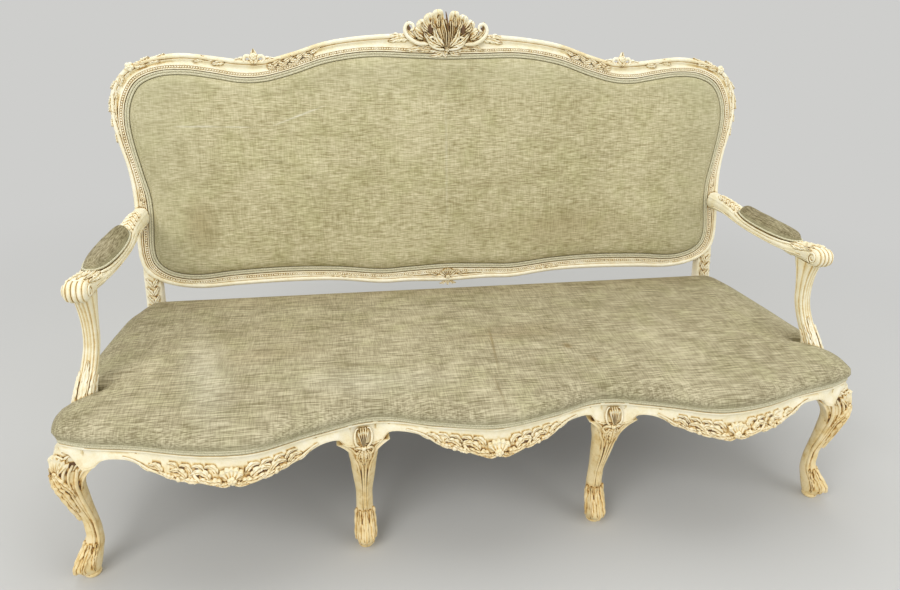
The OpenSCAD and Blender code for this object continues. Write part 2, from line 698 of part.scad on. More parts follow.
function arm_mid(t, lift) =
    [mix(arm_front_x, arm_rear_x, t) + arm_bow * sin(180 * max(0, t)),
     mix(arm_front_y, arm_rear_y, t), mix(arm_z, arm_rear_h, t) + lift * arm_t];
// Section across a run along Y, flattened below
arm_sides = 12;
// The sole is level over the support, and flatter than the top behind it
sole_end_share = 0.2;
function arm_ring(t, c, hw, ht, lean) =
    let (sole = t < sole_end_share ? 1.25 : 0.82, lowest = t < sole_end_share ? support_top_z + fit_gap : 0)
    [for (j = [0:arm_sides - 1]) let (a = -j * 360 / arm_sides + 15)
        let (flat = sin(a) < 0 ? sole : 1, up = ht * flat * sign(sin(a)) * pow(abs(sin(a)), 0.8))
        [c[0] + hw * sign(cos(a)) * pow(abs(cos(a)), 0.75), c[1] + up * lean * tan(back_tilt),
         max(c[2] + up, lowest)]];
module arm_dowels(gap) {
    for (lift = [-0.3, 0.3])
        translate(arm_mid(1, lift) - [0, tenon_l / 2, 0])
            rotate([-90, 0, 0]) cylinder(d = peg_dia * 1.5 + gap * 2, h = tenon_l + gap, $fn = 48);
}
arm_curve = spline(arm_table, 2);
module arm_post_tenon(gap) {
    block_at([arm_front_x, support_y, arm_z - arm_t * 0.2],
        [tenon_t * 1.4 + gap * 2, tenon_t * 1.4 + gap * 2, arm_t * 0.8 + gap * 2]);
}
module arm() {
    difference() {
        union() {
            loft([for (p = arm_curve)
                arm_ring(p[0], arm_mid(p[0], p[3]), arm_w * p[1], arm_t * p[2], max(0, (p[0] - 0.8) * 5))]);
            arm_dowels(0);
        }
        arm_post_tenon(fit_gap);
    }
}
module arm_right() {
    color("antiquewhite") arm();
}
module arm_left() {
    color("antiquewhite") mirror([1, 0, 0]) arm();
}

// Arm support, swept forward and outward to its foot on the side rail:
// share of the height, place along Y and across as shares of its width, half width, half depth
support_table = [
    [0, 0, 1, 0.56, 0.60], [0.10, -0.18, 0.97, 0.58, 0.66], [0.22, 0.10, 0.80, 0.50, 0.58],
    [0.38, 0.70, 0.42, 0.45, 0.46], [0.55, 1.15, 0.14, 0.42, 0.44], [0.72, 1.32, 0.03, 0.42, 0.48],
    [0.86, 1.42, 0, 0.45, 0.66], [0.95, 1.50, 0, 0.48, 0.90], [1, support_top_share, 0, 0.50, 0.98]
];
function support_ring(p) =
    let (x = mix(arm_front_x, support_foot_x, p[2]), y = support_foot_y + arm_support_w * p[1])
    let (hw = arm_support_w * p[3], hd = arm_support_w * p[4])
    [for (j = [0:arm_sides - 1]) let (a = j * 360 / arm_sides + 15)
        [x + hw * sign(cos(a)) * pow(abs(cos(a)), 0.7), y + hd * sign(sin(a)) * pow(abs(sin(a)), 0.7),
         mix(rail_top_h, support_top_z, p[0])]];
module support_tenon(gap) {
    block_at([support_foot_x, support_foot_y, rail_top_h],
        [tenon_t * 1.4 + gap * 2, tenon_t * 1.4 + gap * 2, rail_d + gap * 2]);
}
module arm_support() {
    union() {
        loft([for (p = spline(support_table, 2)) support_ring(p)]);
        support_tenon(0);
        arm_post_tenon(0);
    }
}
module arm_support_right() {
    color("antiquewhite") arm_support();
}
module arm_support_left() {
    color("antiquewhite") mirror([1, 0, 0]) arm_support();
}

// Seat outline from the front middle round to the rear middle, right half
seat_edge_inset = 4;
seat_rear_y = post_y - post_w / 2 - soft_gap * 4;
seat_half_w = corner_block_x + leg_block / 2 - seat_edge_inset;
front_points = [for (q = front_plan_shares) if (q[0] < 0.85)
    [q[0] * half_sofa_w, rail_line_y - belly_d * q[1] + seat_edge_inset]];
notch_x = support_foot_x - arm_support_w * 0.60 - welt_dia * 1.5 - soft_gap * 4;
notch_hw = arm_support_w * 0.68 + welt_dia * 1.5 + edge_r;
side_points = [
    [half_sofa_w * 0.90, front_line_y(half_sofa_w * 0.90) + seat_edge_inset],
    [seat_half_w - seat_edge_inset * 4, rail_line_y + seat_edge_inset],
    [seat_half_w, rail_line_y + belly_d * 0.22],
    [seat_half_w, support_foot_y - notch_hw - edge_r],
    [notch_x, support_foot_y - notch_hw + edge_r], [notch_x, support_foot_y],
    [notch_x, support_foot_y + notch_hw - edge_r],
    [side_at(0.2, rail_t / 2)[0] - seat_edge_inset, support_foot_y + notch_hw + edge_r],
    [side_at(0.4, rail_t / 2)[0] - seat_edge_inset, side_at(0.4, 0)[1]],
    [side_at(0.65, rail_t / 2)[0] - seat_edge_inset, side_at(0.65, 0)[1]],
    [side_at(0.9, rail_t / 2)[0] - seat_edge_inset, side_at(0.9, 0)[1]],
    [side_at(0.97, rail_t / 2)[0] - rail_t / 3, seat_rear_y - edge_r],
    [side_at(1, 0)[0] - rail_t / 2, seat_rear_y]
];
rear_points = [for (s = [0.8, 0.6, 0.4, 0.2]) [side_at(1, 0)[0] * s, seat_rear_y]];
right_seat = concat(front_points, side_points, rear_points, [[0, seat_rear_y]]);
seat_outline = concat(right_seat,
    [for (k = [len(right_seat) - 2:-1:1]) [-right_seat[k][0], right_seat[k][1]]]);
seat_mid_y = (front_y + seat_rear_y) / 2;
seat_half_d = (seat_rear_y - front_y) / 2;
// Outline drawn in by d on every side
function seat_inset(d) =
    [for (q = seat_outline)
        [q[0] * (1 - d / seat_half_w), seat_mid_y + (q[1] - seat_mid_y) * (1 - d / seat_half_d)]];
edge_share = 0.66;
function crown_at(d, width, half, height) =
    let (u = min(1, d / width))
    height * (edge_share * sqrt(max(0, 1 - (1 - u) * (1 - u))) + (1 - edge_share) * sin(90 * d / half));
seat_rows = [0, 0.06, 0.2, 0.45, 1, 1.9, 3.2, 4.5];
// Hessian over the webbing, then the stuffing and the cover
base_t = 3;
function flat_ring(ring, z) = [for (q = ring) [q[0], q[1], z]];
hessian_top = rail_top_h + web_t * 2 + hessian_t;
module seat_stuffing() {
    color("wheat") loft(concat(
        [flat_ring(seat_inset(cover_t + soft_gap), hessian_top + soft_gap)],
        [for (k = [1:len(seat_rows) - 1])
            let (d = seat_rows[k] * seat_edge_w)
            [for (q = seat_inset(d + cover_t + soft_gap))
                [q[0], q[1], rail_top_h - cover_t + crown_at(d, seat_edge_w, seat_half_d, seat_crown)
                    + (k < 2 ? base_t * 2 : 0)]]]));
}
module seat_cover() {
    n = len(seat_rows) - 1;
    outer = [for (k = [0:n]) let (d = seat_rows[k] * seat_edge_w)
        [for (q = seat_inset(d))
            [q[0], q[1], rail_top_h + soft_gap + crown_at(d, seat_edge_w, seat_half_d, seat_crown)
                + (k == 1 ? base_t * 2 : 0)]]];
    inner = [for (k = [n:-1:0]) let (d = seat_rows[k] * seat_edge_w)
        [for (q = seat_inset(d + cover_t))
            [q[0], q[1], rail_top_h + soft_gap - (k == 0 ? 0 : cover_t)
                + crown_at(d, seat_edge_w, seat_half_d, seat_crown) + (k == 1 ? base_t * 2 : 0)]]];
    color("darkkhaki") loft(concat(inner, outer));
}

// Double welt swept along a path: two soft cords side by side, as shares of a cord's diameter
welt_shares = [
    [-0.3, 1.9], [0.3, 1.9], [0.5, 1.45], [0.3, 0.98], [0.5, 0.5], [0.3, 0], [-0.3, 0], [-0.5, 0.5]
];
function side_of(p, k, round) =
    let (m = len(p), a = p[round ? (k + m - 1) % m : max(k - 1, 0)])
    let (b = p[round ? (k + 1) % m : min(k + 1, m - 1)], t = (b - a) / norm(b - a))
    [t[1], -t[0]];
function welt_rings(p, out, z, shares, round) =
    [for (k = [0:len(p) - 1]) let (n = side_of(p, k, round))
        [for (q = shares)
            [p[k][0] + n[0] * (out + q[0] * welt_dia), p[k][1] + n[1] * (out + q[0] * welt_dia),
             z + q[1] * welt_dia]]];
first_side = len(front_points) + len(side_points) - 3;
welt_path = concat([for (k = [first_side:-1:1]) [-right_seat[k][0], right_seat[k][1]]],
    [for (k = [0:first_side]) right_seat[k]]);
module seat_welt() {
    color("darkseagreen")
        loft(welt_rings(welt_path, welt_dia / 2 + soft_gap * 2, rail_top_h + soft_gap, welt_shares, false));
}

// Webbing straps cut to an outline: a first layer along Y and a second across it
web_pitch = 88;
module straps(width, length, along) {
    count = floor(width / 2 / web_pitch);
    for (k = [-count:count])
        translate([along == 1 ? k * web_pitch : 0, along == 1 ? 0 : k * web_pitch])
            square(along == 1 ? [web_w, length] : [length, web_w], center = true);
}
web_inset = seat_edge_w * 0.4;
module seat_webbing() {
    color("tan") {
        translate([0, 0, rail_top_h]) linear_extrude(web_t) intersection() {
            polygon(seat_inset(web_inset));
            translate([0, seat_mid_y]) straps(seat_half_w * 2, seat_half_d * 3, 1);
        }
        translate([0, 0, rail_top_h + web_t]) linear_extrude(web_t) intersection() {
            polygon(seat_inset(web_inset));
            translate([0, seat_mid_y]) straps(seat_half_d * 1.6, seat_half_w * 3, 0);
        }
    }
}
module seat_hessian() {
    color("peru") translate([0, 0, rail_top_h + web_t * 2]) linear_extrude(hessian_t)
        polygon(seat_inset(web_inset / 2));
}
module seat_bottom_cloth() {
    z = rail_top_h - cross_drop - rail_d - cloth_t;
    x0 = side_inner(0)[0] - soft_gap;
    x1 = side_inner(1)[0] - soft_gap;
    y0 = block_rear_y + soft_gap;
    y1 = post_y - rail_t / 2 - soft_gap;
    color("dimgray") translate([0, 0, z]) linear_extrude(cloth_t)
        polygon([[-x0, y0], [x0, y0], [x1, y1], [-x1, y1]]);
}

// Covered back panel, seen as layers out of the face of the frame
back_base = -ledge_drop + web_t * 2 + hessian_t;
back_edge_w = 26;
back_rows = [0, 0.15, 0.5, 1, 2.2, 4.5, 7];
back_half = back_rise * 0.41;
function back_dome_row(d, extra, z) =
    [for (q = panel_edge(d + extra)) [q[0], q[1], z + crown_at(d, back_edge_w, back_half, back_crown)]];
module back_stuffing() {
    color("wheat") on_back() loft(concat(
        [for (q = [panel_edge(cover_t + soft_gap)]) [for (p = q) [p[0], p[1], back_base + soft_gap]]],
        [for (k = [2:len(back_rows) - 1])
            back_dome_row(back_rows[k] * back_edge_w, cover_t + soft_gap, -ledge_drop - soft_gap)]));
}
module back_cover() {
    n = len(back_rows) - 1;
    inner = [for (k = [n:-1:0])
        back_dome_row(back_rows[k] * back_edge_w, k == 0 ? cover_t : cover_t / 2,
            k == 0 ? -ledge_drop + soft_gap : -ledge_drop)];
    outer = [for (k = [0:n])
        back_dome_row(back_rows[k] * back_edge_w, 0, -ledge_drop + (k == 0 ? soft_gap : cover_t))];
    color("darkkhaki") on_back() loft(concat(inner, outer));
}
flat_welt_shares = [
    [1.9, 0.1], [1.4, 0], [0.95, 0.25], [0.5, 0], [0, 0.1], [0, 0.7], [0.5, 1], [0.95, 0.7],
    [1.4, 1], [1.9, 0.7]
];
module back_welt() {
    shares = [for (k = [len(flat_welt_shares) - 1:-1:0]) flat_welt_shares[k]];
    color("darkseagreen") on_back()
        loft(welt_rings(panel_edge(-soft_gap * 2), 0, -ledge_drop + soft_gap, shares, true), closed = true);
}
module back_webbing() {
    color("tan") on_back() {
        translate([0, 0, -ledge_drop]) linear_extrude(web_t) intersection() {
            polygon(panel_edge(cover_t * 3));
            translate([0, back_rise / 2]) straps(half_back_w * 1.8, back_rise * 2, 1);
        }
        translate([0, 0, web_t - ledge_drop]) linear_extrude(web_t) intersection() {
            polygon(panel_edge(cover_t * 3));
            translate([0, back_rise / 2]) straps(back_rise * 0.8, half_back_w * 4, 0);
        }
    }
}
module back_hessian() {
    color("peru") on_back() translate([0, 0, web_t * 2 - ledge_drop]) linear_extrude(hessian_t)
        polygon(panel_edge(cover_t * 2));
}
outer_cover_lap = 20;
module back_outer_cover() {
    color("darkkhaki") on_back() translate([0, 0, -frame_t - cover_t]) linear_extrude(cover_t)
        polygon(panel_edge(-outer_cover_lap));
}

// Two slats inside the back, tenoned into the lower rail and the crest rail
muntin_w = 40;
muntin_t = 16;
muntin_x_share = 0.365;
muntin_foot_share = 0.088;
muntin_head_share = 0.886;
muntin_shoulder = 6;
module muntin_at(grow, tenons) {
    x = half_back_w * muntin_x_share;
    v0 = back_rise * muntin_foot_share + rebate_w;
    v1 = back_rise * muntin_head_share - rebate_w;
    for (side = [-1, 1]) translate([side * x, (v0 + v1) / 2, -frame_t / 2]) {
        if (!tenons) cube([muntin_w, v1 - v0 - muntin_shoulder * 2, muntin_t], center = true);
        cube([muntin_w / 2 + grow * 2, v1 - v0 + tenon_l + grow * 2, muntin_t / 2 + grow * 2], center = true);
    }
}
module back_muntins() {
    color("burlywood") on_back() muntin_at(0, false);
}

// Oval arm pads: outline round the pad, then rows drawn in and up
pad_points = 20;
pad_mid_share = 0.46;
pad_width_share = 0.54;
arm_len = arm_rear_y - arm_front_y;
arm_top_shares = [for (q = arm_table) [q[0], q[2] + q[3]]];
function pad_ring(d, z) =
    [for (k = [0:pad_points - 1]) let (a = k * 360 / pad_points)
        let (t = pad_mid_share + sin(a) * (arm_pad_l / 2 - d) / arm_len)
        let (hw = arm_w * pad_width_share - d, c = arm_mid(t, share_at(arm_top_shares, t)))
        [c[0] + hw * sign(cos(a)) * pow(abs(cos(a)), 0.7), c[1], c[2] + soft_gap + z]];
pad_rows = [0, 0.12, 0.4, 0.8];
function pad_crown(d) = crown_at(d, arm_w * 0.4, arm_w * 0.5, arm_pad_h);
module pad_stuffing() {
    color("wheat") loft(concat([pad_ring(cover_t + soft_gap, 0)],
        [for (k = [1:3]) let (d = pad_rows[k] * arm_w * 0.5)
            pad_ring(d + cover_t + soft_gap, pad_crown(d) - soft_gap * 2)]));
}
module pad_cover() {
    inner = [for (k = [3:-1:0]) let (d = pad_rows[k] * arm_w * 0.5)
        pad_ring(d + (k == 0 ? cover_t : cover_t * 0.8), k == 0 ? 0 : pad_crown(d))];
    outer = [for (k = [0:3]) let (d = pad_rows[k] * arm_w * 0.5)
        pad_ring(d, k == 0 ? 0 : pad_crown(d) + cover_t)];
    color("rosybrown") loft(concat(inner, outer));
}
module pad_welt() {
    ring = pad_ring(-welt_dia * 0.55, 0);
    rings = [for (k = [0:pad_points - 1]) let (n = side_of(ring, k, true))
        [for (a = [0:60:300])
            [ring[k][0] + n[0] * cos(-a) * welt_dia * 0.4, ring[k][1] + n[1] * cos(-a) * welt_dia * 0.4,
             ring[k][2] + sin(-a) * welt_dia * 0.4 + welt_dia * 0.5]]];
    color("tan") loft(rings, closed = true);
}
module arm_stuffing_right() {
    pad_stuffing();
}
module arm_stuffing_left() {
    mirror([1, 0, 0]) pad_stuffing();
}
module arm_cover_right() {
    pad_cover();
}
module arm_cover_left() {
    mirror([1, 0, 0]) pad_cover();
}
module arm_welt_right() {
    pad_welt();
}
module arm_welt_left() {
    mirror([1, 0, 0]) pad_welt();
}

crest_rail();
stile_left();
stile_right();
lower_back_rail();
front_rail_left();
front_rail_centre();
front_rail_right();
side_rail_left();
side_rail_right();
rear_rail();
cross_rail_left();
cross_rail_right();
front_leg_outer_left();
front_leg_outer_right();
front_leg_inner_left();
front_leg_inner_right();
rear_leg_inner_left();
rear_leg_inner_right();
arm_left();
arm_right();
arm_support_left();
arm_support_right();
corner_blocks();
corner_block_screws();
joint_pegs();
back_muntins();
seat_webbing();
seat_hessian();
seat_stuffing();
seat_cover();
seat_welt();
seat_bottom_cloth();
back_webbing();
back_hessian();
back_stuffing();
back_cover();
back_welt();
back_outer_cover();
arm_stuffing_left();
arm_stuffing_right();
arm_cover_left();
arm_cover_right();
arm_welt_left();
arm_welt_right();
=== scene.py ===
"""Carved and painted cabriole sofa: the looks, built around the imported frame."""

import json
import math
import random

import bpy
import numpy as np
from mathutils import Matrix, Vector
from mathutils.bvhtree import BVHTree

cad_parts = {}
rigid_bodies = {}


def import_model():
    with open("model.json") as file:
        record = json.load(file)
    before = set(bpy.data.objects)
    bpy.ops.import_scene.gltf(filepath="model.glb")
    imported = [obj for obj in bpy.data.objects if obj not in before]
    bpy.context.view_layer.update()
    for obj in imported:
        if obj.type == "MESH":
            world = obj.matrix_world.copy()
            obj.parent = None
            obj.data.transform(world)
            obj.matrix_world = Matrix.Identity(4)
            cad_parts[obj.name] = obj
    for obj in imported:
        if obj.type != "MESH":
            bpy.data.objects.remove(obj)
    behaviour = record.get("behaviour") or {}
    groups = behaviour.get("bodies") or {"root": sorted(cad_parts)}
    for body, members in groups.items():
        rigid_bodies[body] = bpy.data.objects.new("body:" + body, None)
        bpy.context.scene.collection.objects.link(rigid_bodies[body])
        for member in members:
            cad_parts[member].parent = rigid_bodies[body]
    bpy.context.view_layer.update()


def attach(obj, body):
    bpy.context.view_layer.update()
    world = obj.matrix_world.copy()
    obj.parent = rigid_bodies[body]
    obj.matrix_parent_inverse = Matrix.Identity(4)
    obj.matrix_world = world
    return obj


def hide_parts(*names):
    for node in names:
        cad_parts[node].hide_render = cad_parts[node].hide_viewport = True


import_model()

bl_info = {
    "name": "Cabriole sofa",
    "version": (1, 0, 0),
    "blender": (4, 5, 0),
    "location": "View3D > Sidebar > Sofa",
    "description": "Builds the carved frame, the covers and the stage of a cabriole sofa",
    "category": "Add Mesh",
}

MM = 0.001
PHOTO_W, PHOTO_H = 900, 590


def hex_rgba(text):
    """sRGB hex colour as linear red, green and blue, opaque."""
    parts = [int(text[k:k + 2], 16) / 255 for k in (1, 3, 5)]
    return (*(c / 12.92 if c <= 0.04045 else ((c + 0.055) / 1.055) ** 2.4 for c in parts), 1)


# Sizes shared with the construction, in millimetres
SOFA_W = 1790
BACK_W = 1700
BACK_FOOT_H = 404
BACK_H = 1063
CREST_SHELL_H = 57
SEAT_D = 653
BACK_TILT = math.radians(10.6)
FRAME_T = 36
WELT_LEDGE_W = 14
RAIL_TOP_H = 352
RAIL_T = 46
APRON_D = 58
RAIL_D = 36
BELLY_D = 80
APRON_SWELL = 13
CORNER_X = 872
INNER_X = 278
FEET_SETBACK = 95
LEG_BLOCK = 52
ANKLE_W = 31
KNEE_REACH = 32
PAD_DIA = 36
PAD_H = 9
POST_W = 44
REAR_RAKE = 120
REAR_FOOT_W = 34
ARM_H = 634
ARM_W = 48
ARM_T = 34
ARM_PAD_L = 236
SUPPORT_W = 38
SEAT_EDGE_W = 60
WELT_DIA = 6

# Places worked out from the sizes, as in the construction
HALF_BACK = BACK_W / 2
HALF_SOFA = SOFA_W / 2
BACK_RISE = (BACK_H - BACK_FOOT_H) / math.cos(BACK_TILT)
TOP_RAKE = (BACK_H + CREST_SHELL_H - BACK_FOOT_H) * math.tan(BACK_TILT)
FRONT_Y = APRON_SWELL - (APRON_SWELL + SEAT_D + TOP_RAKE + FRAME_T) / 2
BACK_Y = FRONT_Y + SEAT_D
RAIL_LINE_Y = FRONT_Y + BELLY_D
FOOT_Y = FRONT_Y + FEET_SETBACK
BLOCK_INSET = LEG_BLOCK / 2 - APRON_SWELL / 4
CORNER_BLOCK_X = CORNER_X - BLOCK_INSET
FRONT_BLOCK_Y = FOOT_Y + BLOCK_INSET
BLOCK_REAR_Y = FRONT_BLOCK_Y + LEG_BLOCK / 2
POST_X = HALF_BACK - POST_W * 1.2
POST_Y = BACK_Y + FRAME_T / 2 - (BACK_FOOT_H - RAIL_TOP_H) * math.tan(BACK_TILT)
REAR_FOOT_Y = BACK_Y + REAR_RAKE
SIDE_X0, SIDE_Y0 = CORNER_BLOCK_X, BLOCK_REAR_Y
SIDE_X1, SIDE_Y1 = POST_X, POST_Y - POST_W / 2
SIDE_BOW = 14

# Outline of the back frame from the bottom middle to the top middle: inner x, inner
# height, outer x, outer height, as shares of half the width and of the rise
BACK_SHARES = np.array([
    [0, 0.080, 0, 0.004], [0.13, 0.074, 0.13, 0.009], [0.225, 0.070, 0.225, 0.008],
    [0.365, 0.088, 0.367, 0.028], [0.52, 0.095, 0.52, 0.032], [0.68, 0.089, 0.677, 0.027],
    [0.79, 0.078, 0.788, 0.021], [0.86, 0.090, 0.876, 0.038], [0.904, 0.124, 0.941, 0.080],
    [0.919, 0.183, 0.967, 0.153], [0.912, 0.312, 0.966, 0.305], [0.913, 0.395, 0.964, 0.403],
    [0.926, 0.480, 0.971, 0.505], [0.943, 0.600, 0.990, 0.615], [0.947, 0.680, 0.998, 0.700],
    [0.936, 0.748, 0.988, 0.789], [0.905, 0.806, 0.946, 0.862], [0.847, 0.836, 0.875, 0.902],
    [0.776, 0.840, 0.790, 0.918], [0.706, 0.829, 0.709, 0.910], [0.624, 0.813, 0.624, 0.898],
    [0.553, 0.817, 0.553, 0.898], [0.471, 0.843, 0.471, 0.924], [0.365, 0.886, 0.365, 0.966],
    [0.240, 0.909, 0.241, 0.989], [0.10, 0.906, 0.10, 0.999], [0, 0.903, 0, 1],
])
RAIL_END, CREST_START = 7, 16
FRONT_PLAN_SHARES = np.array([
    [0, 0.84], [0.14, 0.52], [0.24, 0.13], [0.31, 0.10], [0.375, 0.30], [0.445, 0.56],
    [0.535, 0.94], [0.60, 1], [0.69, 0.85], [0.80, 0.48], [0.89, 0.27], [0.975, 0.06],
])
APRON_SHARES = np.array([
    [0, 1], [0.045, 0.94], [0.10, 0.62], [0.15, 0.20], [0.20, 0.02], [0.25, 0.10], [0.282, 0.62],
    [0.34, 0.62], [0.37, 0.10], [0.42, 0.12], [0.48, 0.48], [0.545, 0.94], [0.60, 1],
    [0.655, 0.96], [0.71, 0.84], [0.77, 0.36], [0.83, 0.02], [0.88, 0.12], [0.925, 0.66],
])
LEG_SHARES = np.array([
    [0.955, -0.66, 0.80, 0.80], [0.86, -0.45, 0.98, 0.96], [0.745, -0.12, 0.92, 0.88],
    [0.665, -0.12, 0.75, 0.74], [0.53, -0.37, 0.54, 0.56], [0.40, -0.66, 0.43, 0.46],
    [0.325, -0.72, 0.45, 0.46], [0.27, -0.71, 0.48, 0.48], [0.21, -0.57, 0.62, 0.54],
    [0.145, -0.18, 0.86, 0.60], [0.085, 0.10, 0.95, 0.62], [0.045, 0.05, 0.74, 0.56],
    [0.02, 0, 0.55, 0.5],
])


def catmull(a, b, c, d, t):
    """Point on the curve through b and c at the share t."""
    return 0.5 * (2 * b + (c - a) * t + (2 * a - 5 * b + 4 * c - d) * t * t
                  + (3 * b - a - 3 * c + d) * t * t * t)


def closed_at(points, s):
    """Point of a closed curve at s points round it."""
    m = len(points)
    k = int(math.floor(s))
    return catmull(points[(k - 1) % m], points[k % m], points[(k + 1) % m], points[(k + 2) % m], s - k)


def open_at(points, s):
    """Point of an open curve at s points along it."""
    m = len(points)
    k = min(max(int(math.floor(s)), 0), m - 2)
    return catmull(points[max(k - 1, 0)], points[k], points[k + 1], points[min(k + 2, m - 1)], s - k)


def share_at(table, s):
    """Value of a two-column table of shares at the share s, on a smooth curve."""
    k = int(np.searchsorted(table[:, 0], s, side="right")) - 1
    last = len(table) - 1
    if k >= last:
        return table[last][1]
    k = max(k, 0)
    t = (s - table[k][0]) / (table[k + 1][0] - table[k][0])
    return catmull(table[max(k - 1, 0)][1], table[k][1], table[k + 1][1], table[min(k + 2, last)][1], t)


def mix(a, b, t):
    return a + (b - a) * t


def smooth(a, b, x):
    """Eases from 0 at a to 1 at b."""
    t = min(max((x - a) / (b - a), 0.0), 1.0)
    return t * t * (3 - 2 * t)


def even_angles(count):
    """Even steps round a full turn."""
    return np.linspace(0, 2 * math.pi, count, endpoint=False)


def signed_power(value, power):
    """Power of a number's size, with its sign kept: it makes a round section squarer."""
    return math.copysign(abs(value) ** power, value)


_right = BACK_SHARES * np.array([HALF_BACK, BACK_RISE, HALF_BACK, BACK_RISE])
_left = _right[-2:0:-1] * np.array([-1, 1, -1, 1])
BACK_LOOP = np.vstack([_right, _left])
LOOP_LEN = len(BACK_LOOP)


def on_back(x, v, w):
    """Point of the leaning back: x across, v up the slope, w out of its face."""
    c, s = math.cos(BACK_TILT), math.sin(BACK_TILT)
    return np.array([x, BACK_Y + v * s - w * c, BACK_FOOT_H + v * c + w * s])


def front_line(x):
    """Front face of the front rail at the place x."""
    return RAIL_LINE_Y - BELLY_D * share_at(FRONT_PLAN_SHARES, abs(x) / HALF_SOFA)


def apron_grow(x):
    return max(0.0, share_at(APRON_SHARES, abs(x) / HALF_SOFA))


def side_at(s, out):
    """Point on the right side rail: share along it, and distance out of its middle line."""
    x = mix(SIDE_X0, SIDE_X1, s) + SIDE_BOW * math.sin(math.pi * s)
    return np.array([x + out, mix(SIDE_Y0, SIDE_Y1, s)])


def size_mm(key):
    """One of the sofa's sizes in millimetres."""
    return getattr(bpy.context.scene.sofa_sizes, key) / MM


def unit(v):
    n = np.linalg.norm(v)
    return v / n if n > 1e-9 else v


def set_marks(piece, name, values):
    """Keeps one number per vertex on a piece, for its material."""
    layer = piece.data.attributes.new(name, "FLOAT", "POINT")
    layer.data.foreach_set("value", np.asarray(values, dtype=np.float32))


# Angle over which an edge stays sharp, in degrees
WOOD_ANGLE, CORD_ANGLE, CLOTH_ANGLE, LINING_ANGLE, VELVET_ANGLE = 42, 60, 60, 50, 70


def finish_mesh(name, shape, slot, material, angle, nodes, sign=1):
    """Makes a piece from a shape in millimetres, gives it its finish and lets it ride. Edges
    sharper than the angle stay sharp. A shape is made on the right, and a negative sign turns
    it over to the left. A name that a CAD node already has gets a prefix."""
    if name in bpy.data.objects:
        name = "carved_" + name
    if sign < 0:
        shape.verts = [np.array([-p[0], p[1], p[2]]) for p in shape.verts]
    mesh = bpy.data.meshes.new(name)
    mesh.from_pydata([tuple(float(c) * MM for c in v) for v in shape.verts], [], shape.faces)
    mesh.update()
    piece = bpy.data.objects.new(name, mesh)
    bpy.context.scene.collection.objects.link(piece)
    # The marks are the glaze of the carving and, on the cords, painted shade
    if slot in ("painted_beech", "welt"):
        set_marks(piece, "glaze_and_shade", shape.glaze_and_shade)
    bpy.ops.object.select_all(action="DESELECT")
    piece.select_set(True)
    bpy.context.view_layer.objects.active = piece
    bpy.ops.object.mode_set(mode="EDIT")
    bpy.ops.mesh.select_all(action="SELECT")
    bpy.ops.mesh.remove_doubles(threshold=MM * 0.01)
    bpy.ops.mesh.normals_make_consistent(inside=False)
    bpy.ops.object.mode_set(mode="OBJECT")
    bpy.ops.object.shade_smooth_by_angle(angle=math.radians(angle))
    mesh.materials.append(material)
    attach(piece, "root")
    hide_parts(*nodes)
    return piece


def wooden(name, shape, material, sign=1):
    """A painted piece of the frame, in the place of the CAD node of its name."""
    return finish_mesh(name, shape, "painted_beech", material, WOOD_ANGLE, [name], sign)


def grid_faces(rows, cols, closed_cols=True, closed_rows=False, start=0):
    """Quads over a grid of points, row after row."""
    faces = []
    for i in range(rows if closed_rows else rows - 1):
        for j in range(cols if closed_cols else cols - 1):
            a = start + i * cols + j
            b = start + i * cols + (j + 1) % cols
            c = start + ((i + 1) % rows) * cols + (j + 1) % cols
            d = start + ((i + 1) % rows) * cols + j
            faces.append((a, b, c, d))
    return faces


class Shape:
    """Points and faces gathered from several forms, with a mark for each point: how deep it lies in the glaze on the
    carving, and the painted shade on the cords.
    """

    def __init__(self):
        self.verts, self.faces, self.glaze_and_shade = [], [], []

    def add(self, verts, faces, glaze_and_shade=None):
        base = len(self.verts)
        self.verts.extend(verts)
        self.faces.extend(tuple(base + k for k in f) for f in faces)
        self.glaze_and_shade.extend(glaze_and_shade if glaze_and_shade is not None else [0.0] * len(verts))

    def loft(self, rings, glaze_and_shade=None, closed=False):
        """A skin over a row of rings, with its ends closed."""
        rows, cols = len(rings), len(rings[0])
        verts = [p for ring in rings for p in ring]
        marks = [g for row in glaze_and_shade for g in row] if glaze_and_shade is not None else [0.0] * len(verts)
        faces = grid_faces(rows, cols, True, closed)
        if not closed:
            for i in (0, rows - 1):
                hub = len(verts)
                verts.append(np.mean(rings[i], axis=0))
                marks.append(marks[i * cols])
                faces += [(hub, i * cols + j, i * cols + (j + 1) % cols) for j in range(cols)]
        self.add(verts, faces, marks)

    def mirrored(self):
        """Adds the same forms on the left of the middle plane."""
        self.add([np.array([-p[0], p[1], p[2]]) for p in self.verts],
                 [tuple(reversed(f)) for f in self.faces], list(self.glaze_and_shade))
        return self


def feed(tree, node, inputs):
    """Sets a node's inputs, or links them where the value is another node's output."""
    for key, value in inputs.items():
        if isinstance(value, bpy.types.NodeSocket):
            tree.links.new(value, node.inputs[key])
        else:
            node.inputs[key].default_value = value


def add_node(tree, kind, inputs=None, **settings):
    """Adds a shader node, gives it its settings, and sets or links its inputs."""
    node = tree.nodes.new("ShaderNode" + kind)
    for key, value in settings.items():
        setattr(node, key, value)
    feed(tree, node, inputs or {})
    return node


def calc(tree, operation, *values, **settings):
    """Result of one step of arithmetic."""
    return add_node(tree, "Math", dict(enumerate(values)), operation=operation, **settings).outputs[0]


def noise(tree, vector, scale, detail, roughness=0.5):
    """Cloudy noise between 0 and 1."""
    return add_node(tree, "TexNoise", {
        "Vector": vector, "Scale": scale, "Detail": detail, "Roughness": roughness}).outputs["Fac"]


def ranged(tree, value, low, high, to_low=0, to_high=1, **settings):
    """Carries a value over from one range to another."""
    return add_node(tree, "MapRange", {
        "Value": value, "From Min": low, "From Max": high, "To Min": to_low, "To Max": to_high},
        **settings).outputs["Result"]


def vertex_mark(tree, name):
    """A number that the mesh keeps at each of its points."""
    return add_node(tree, "Attribute", attribute_name=name).outputs["Fac"]


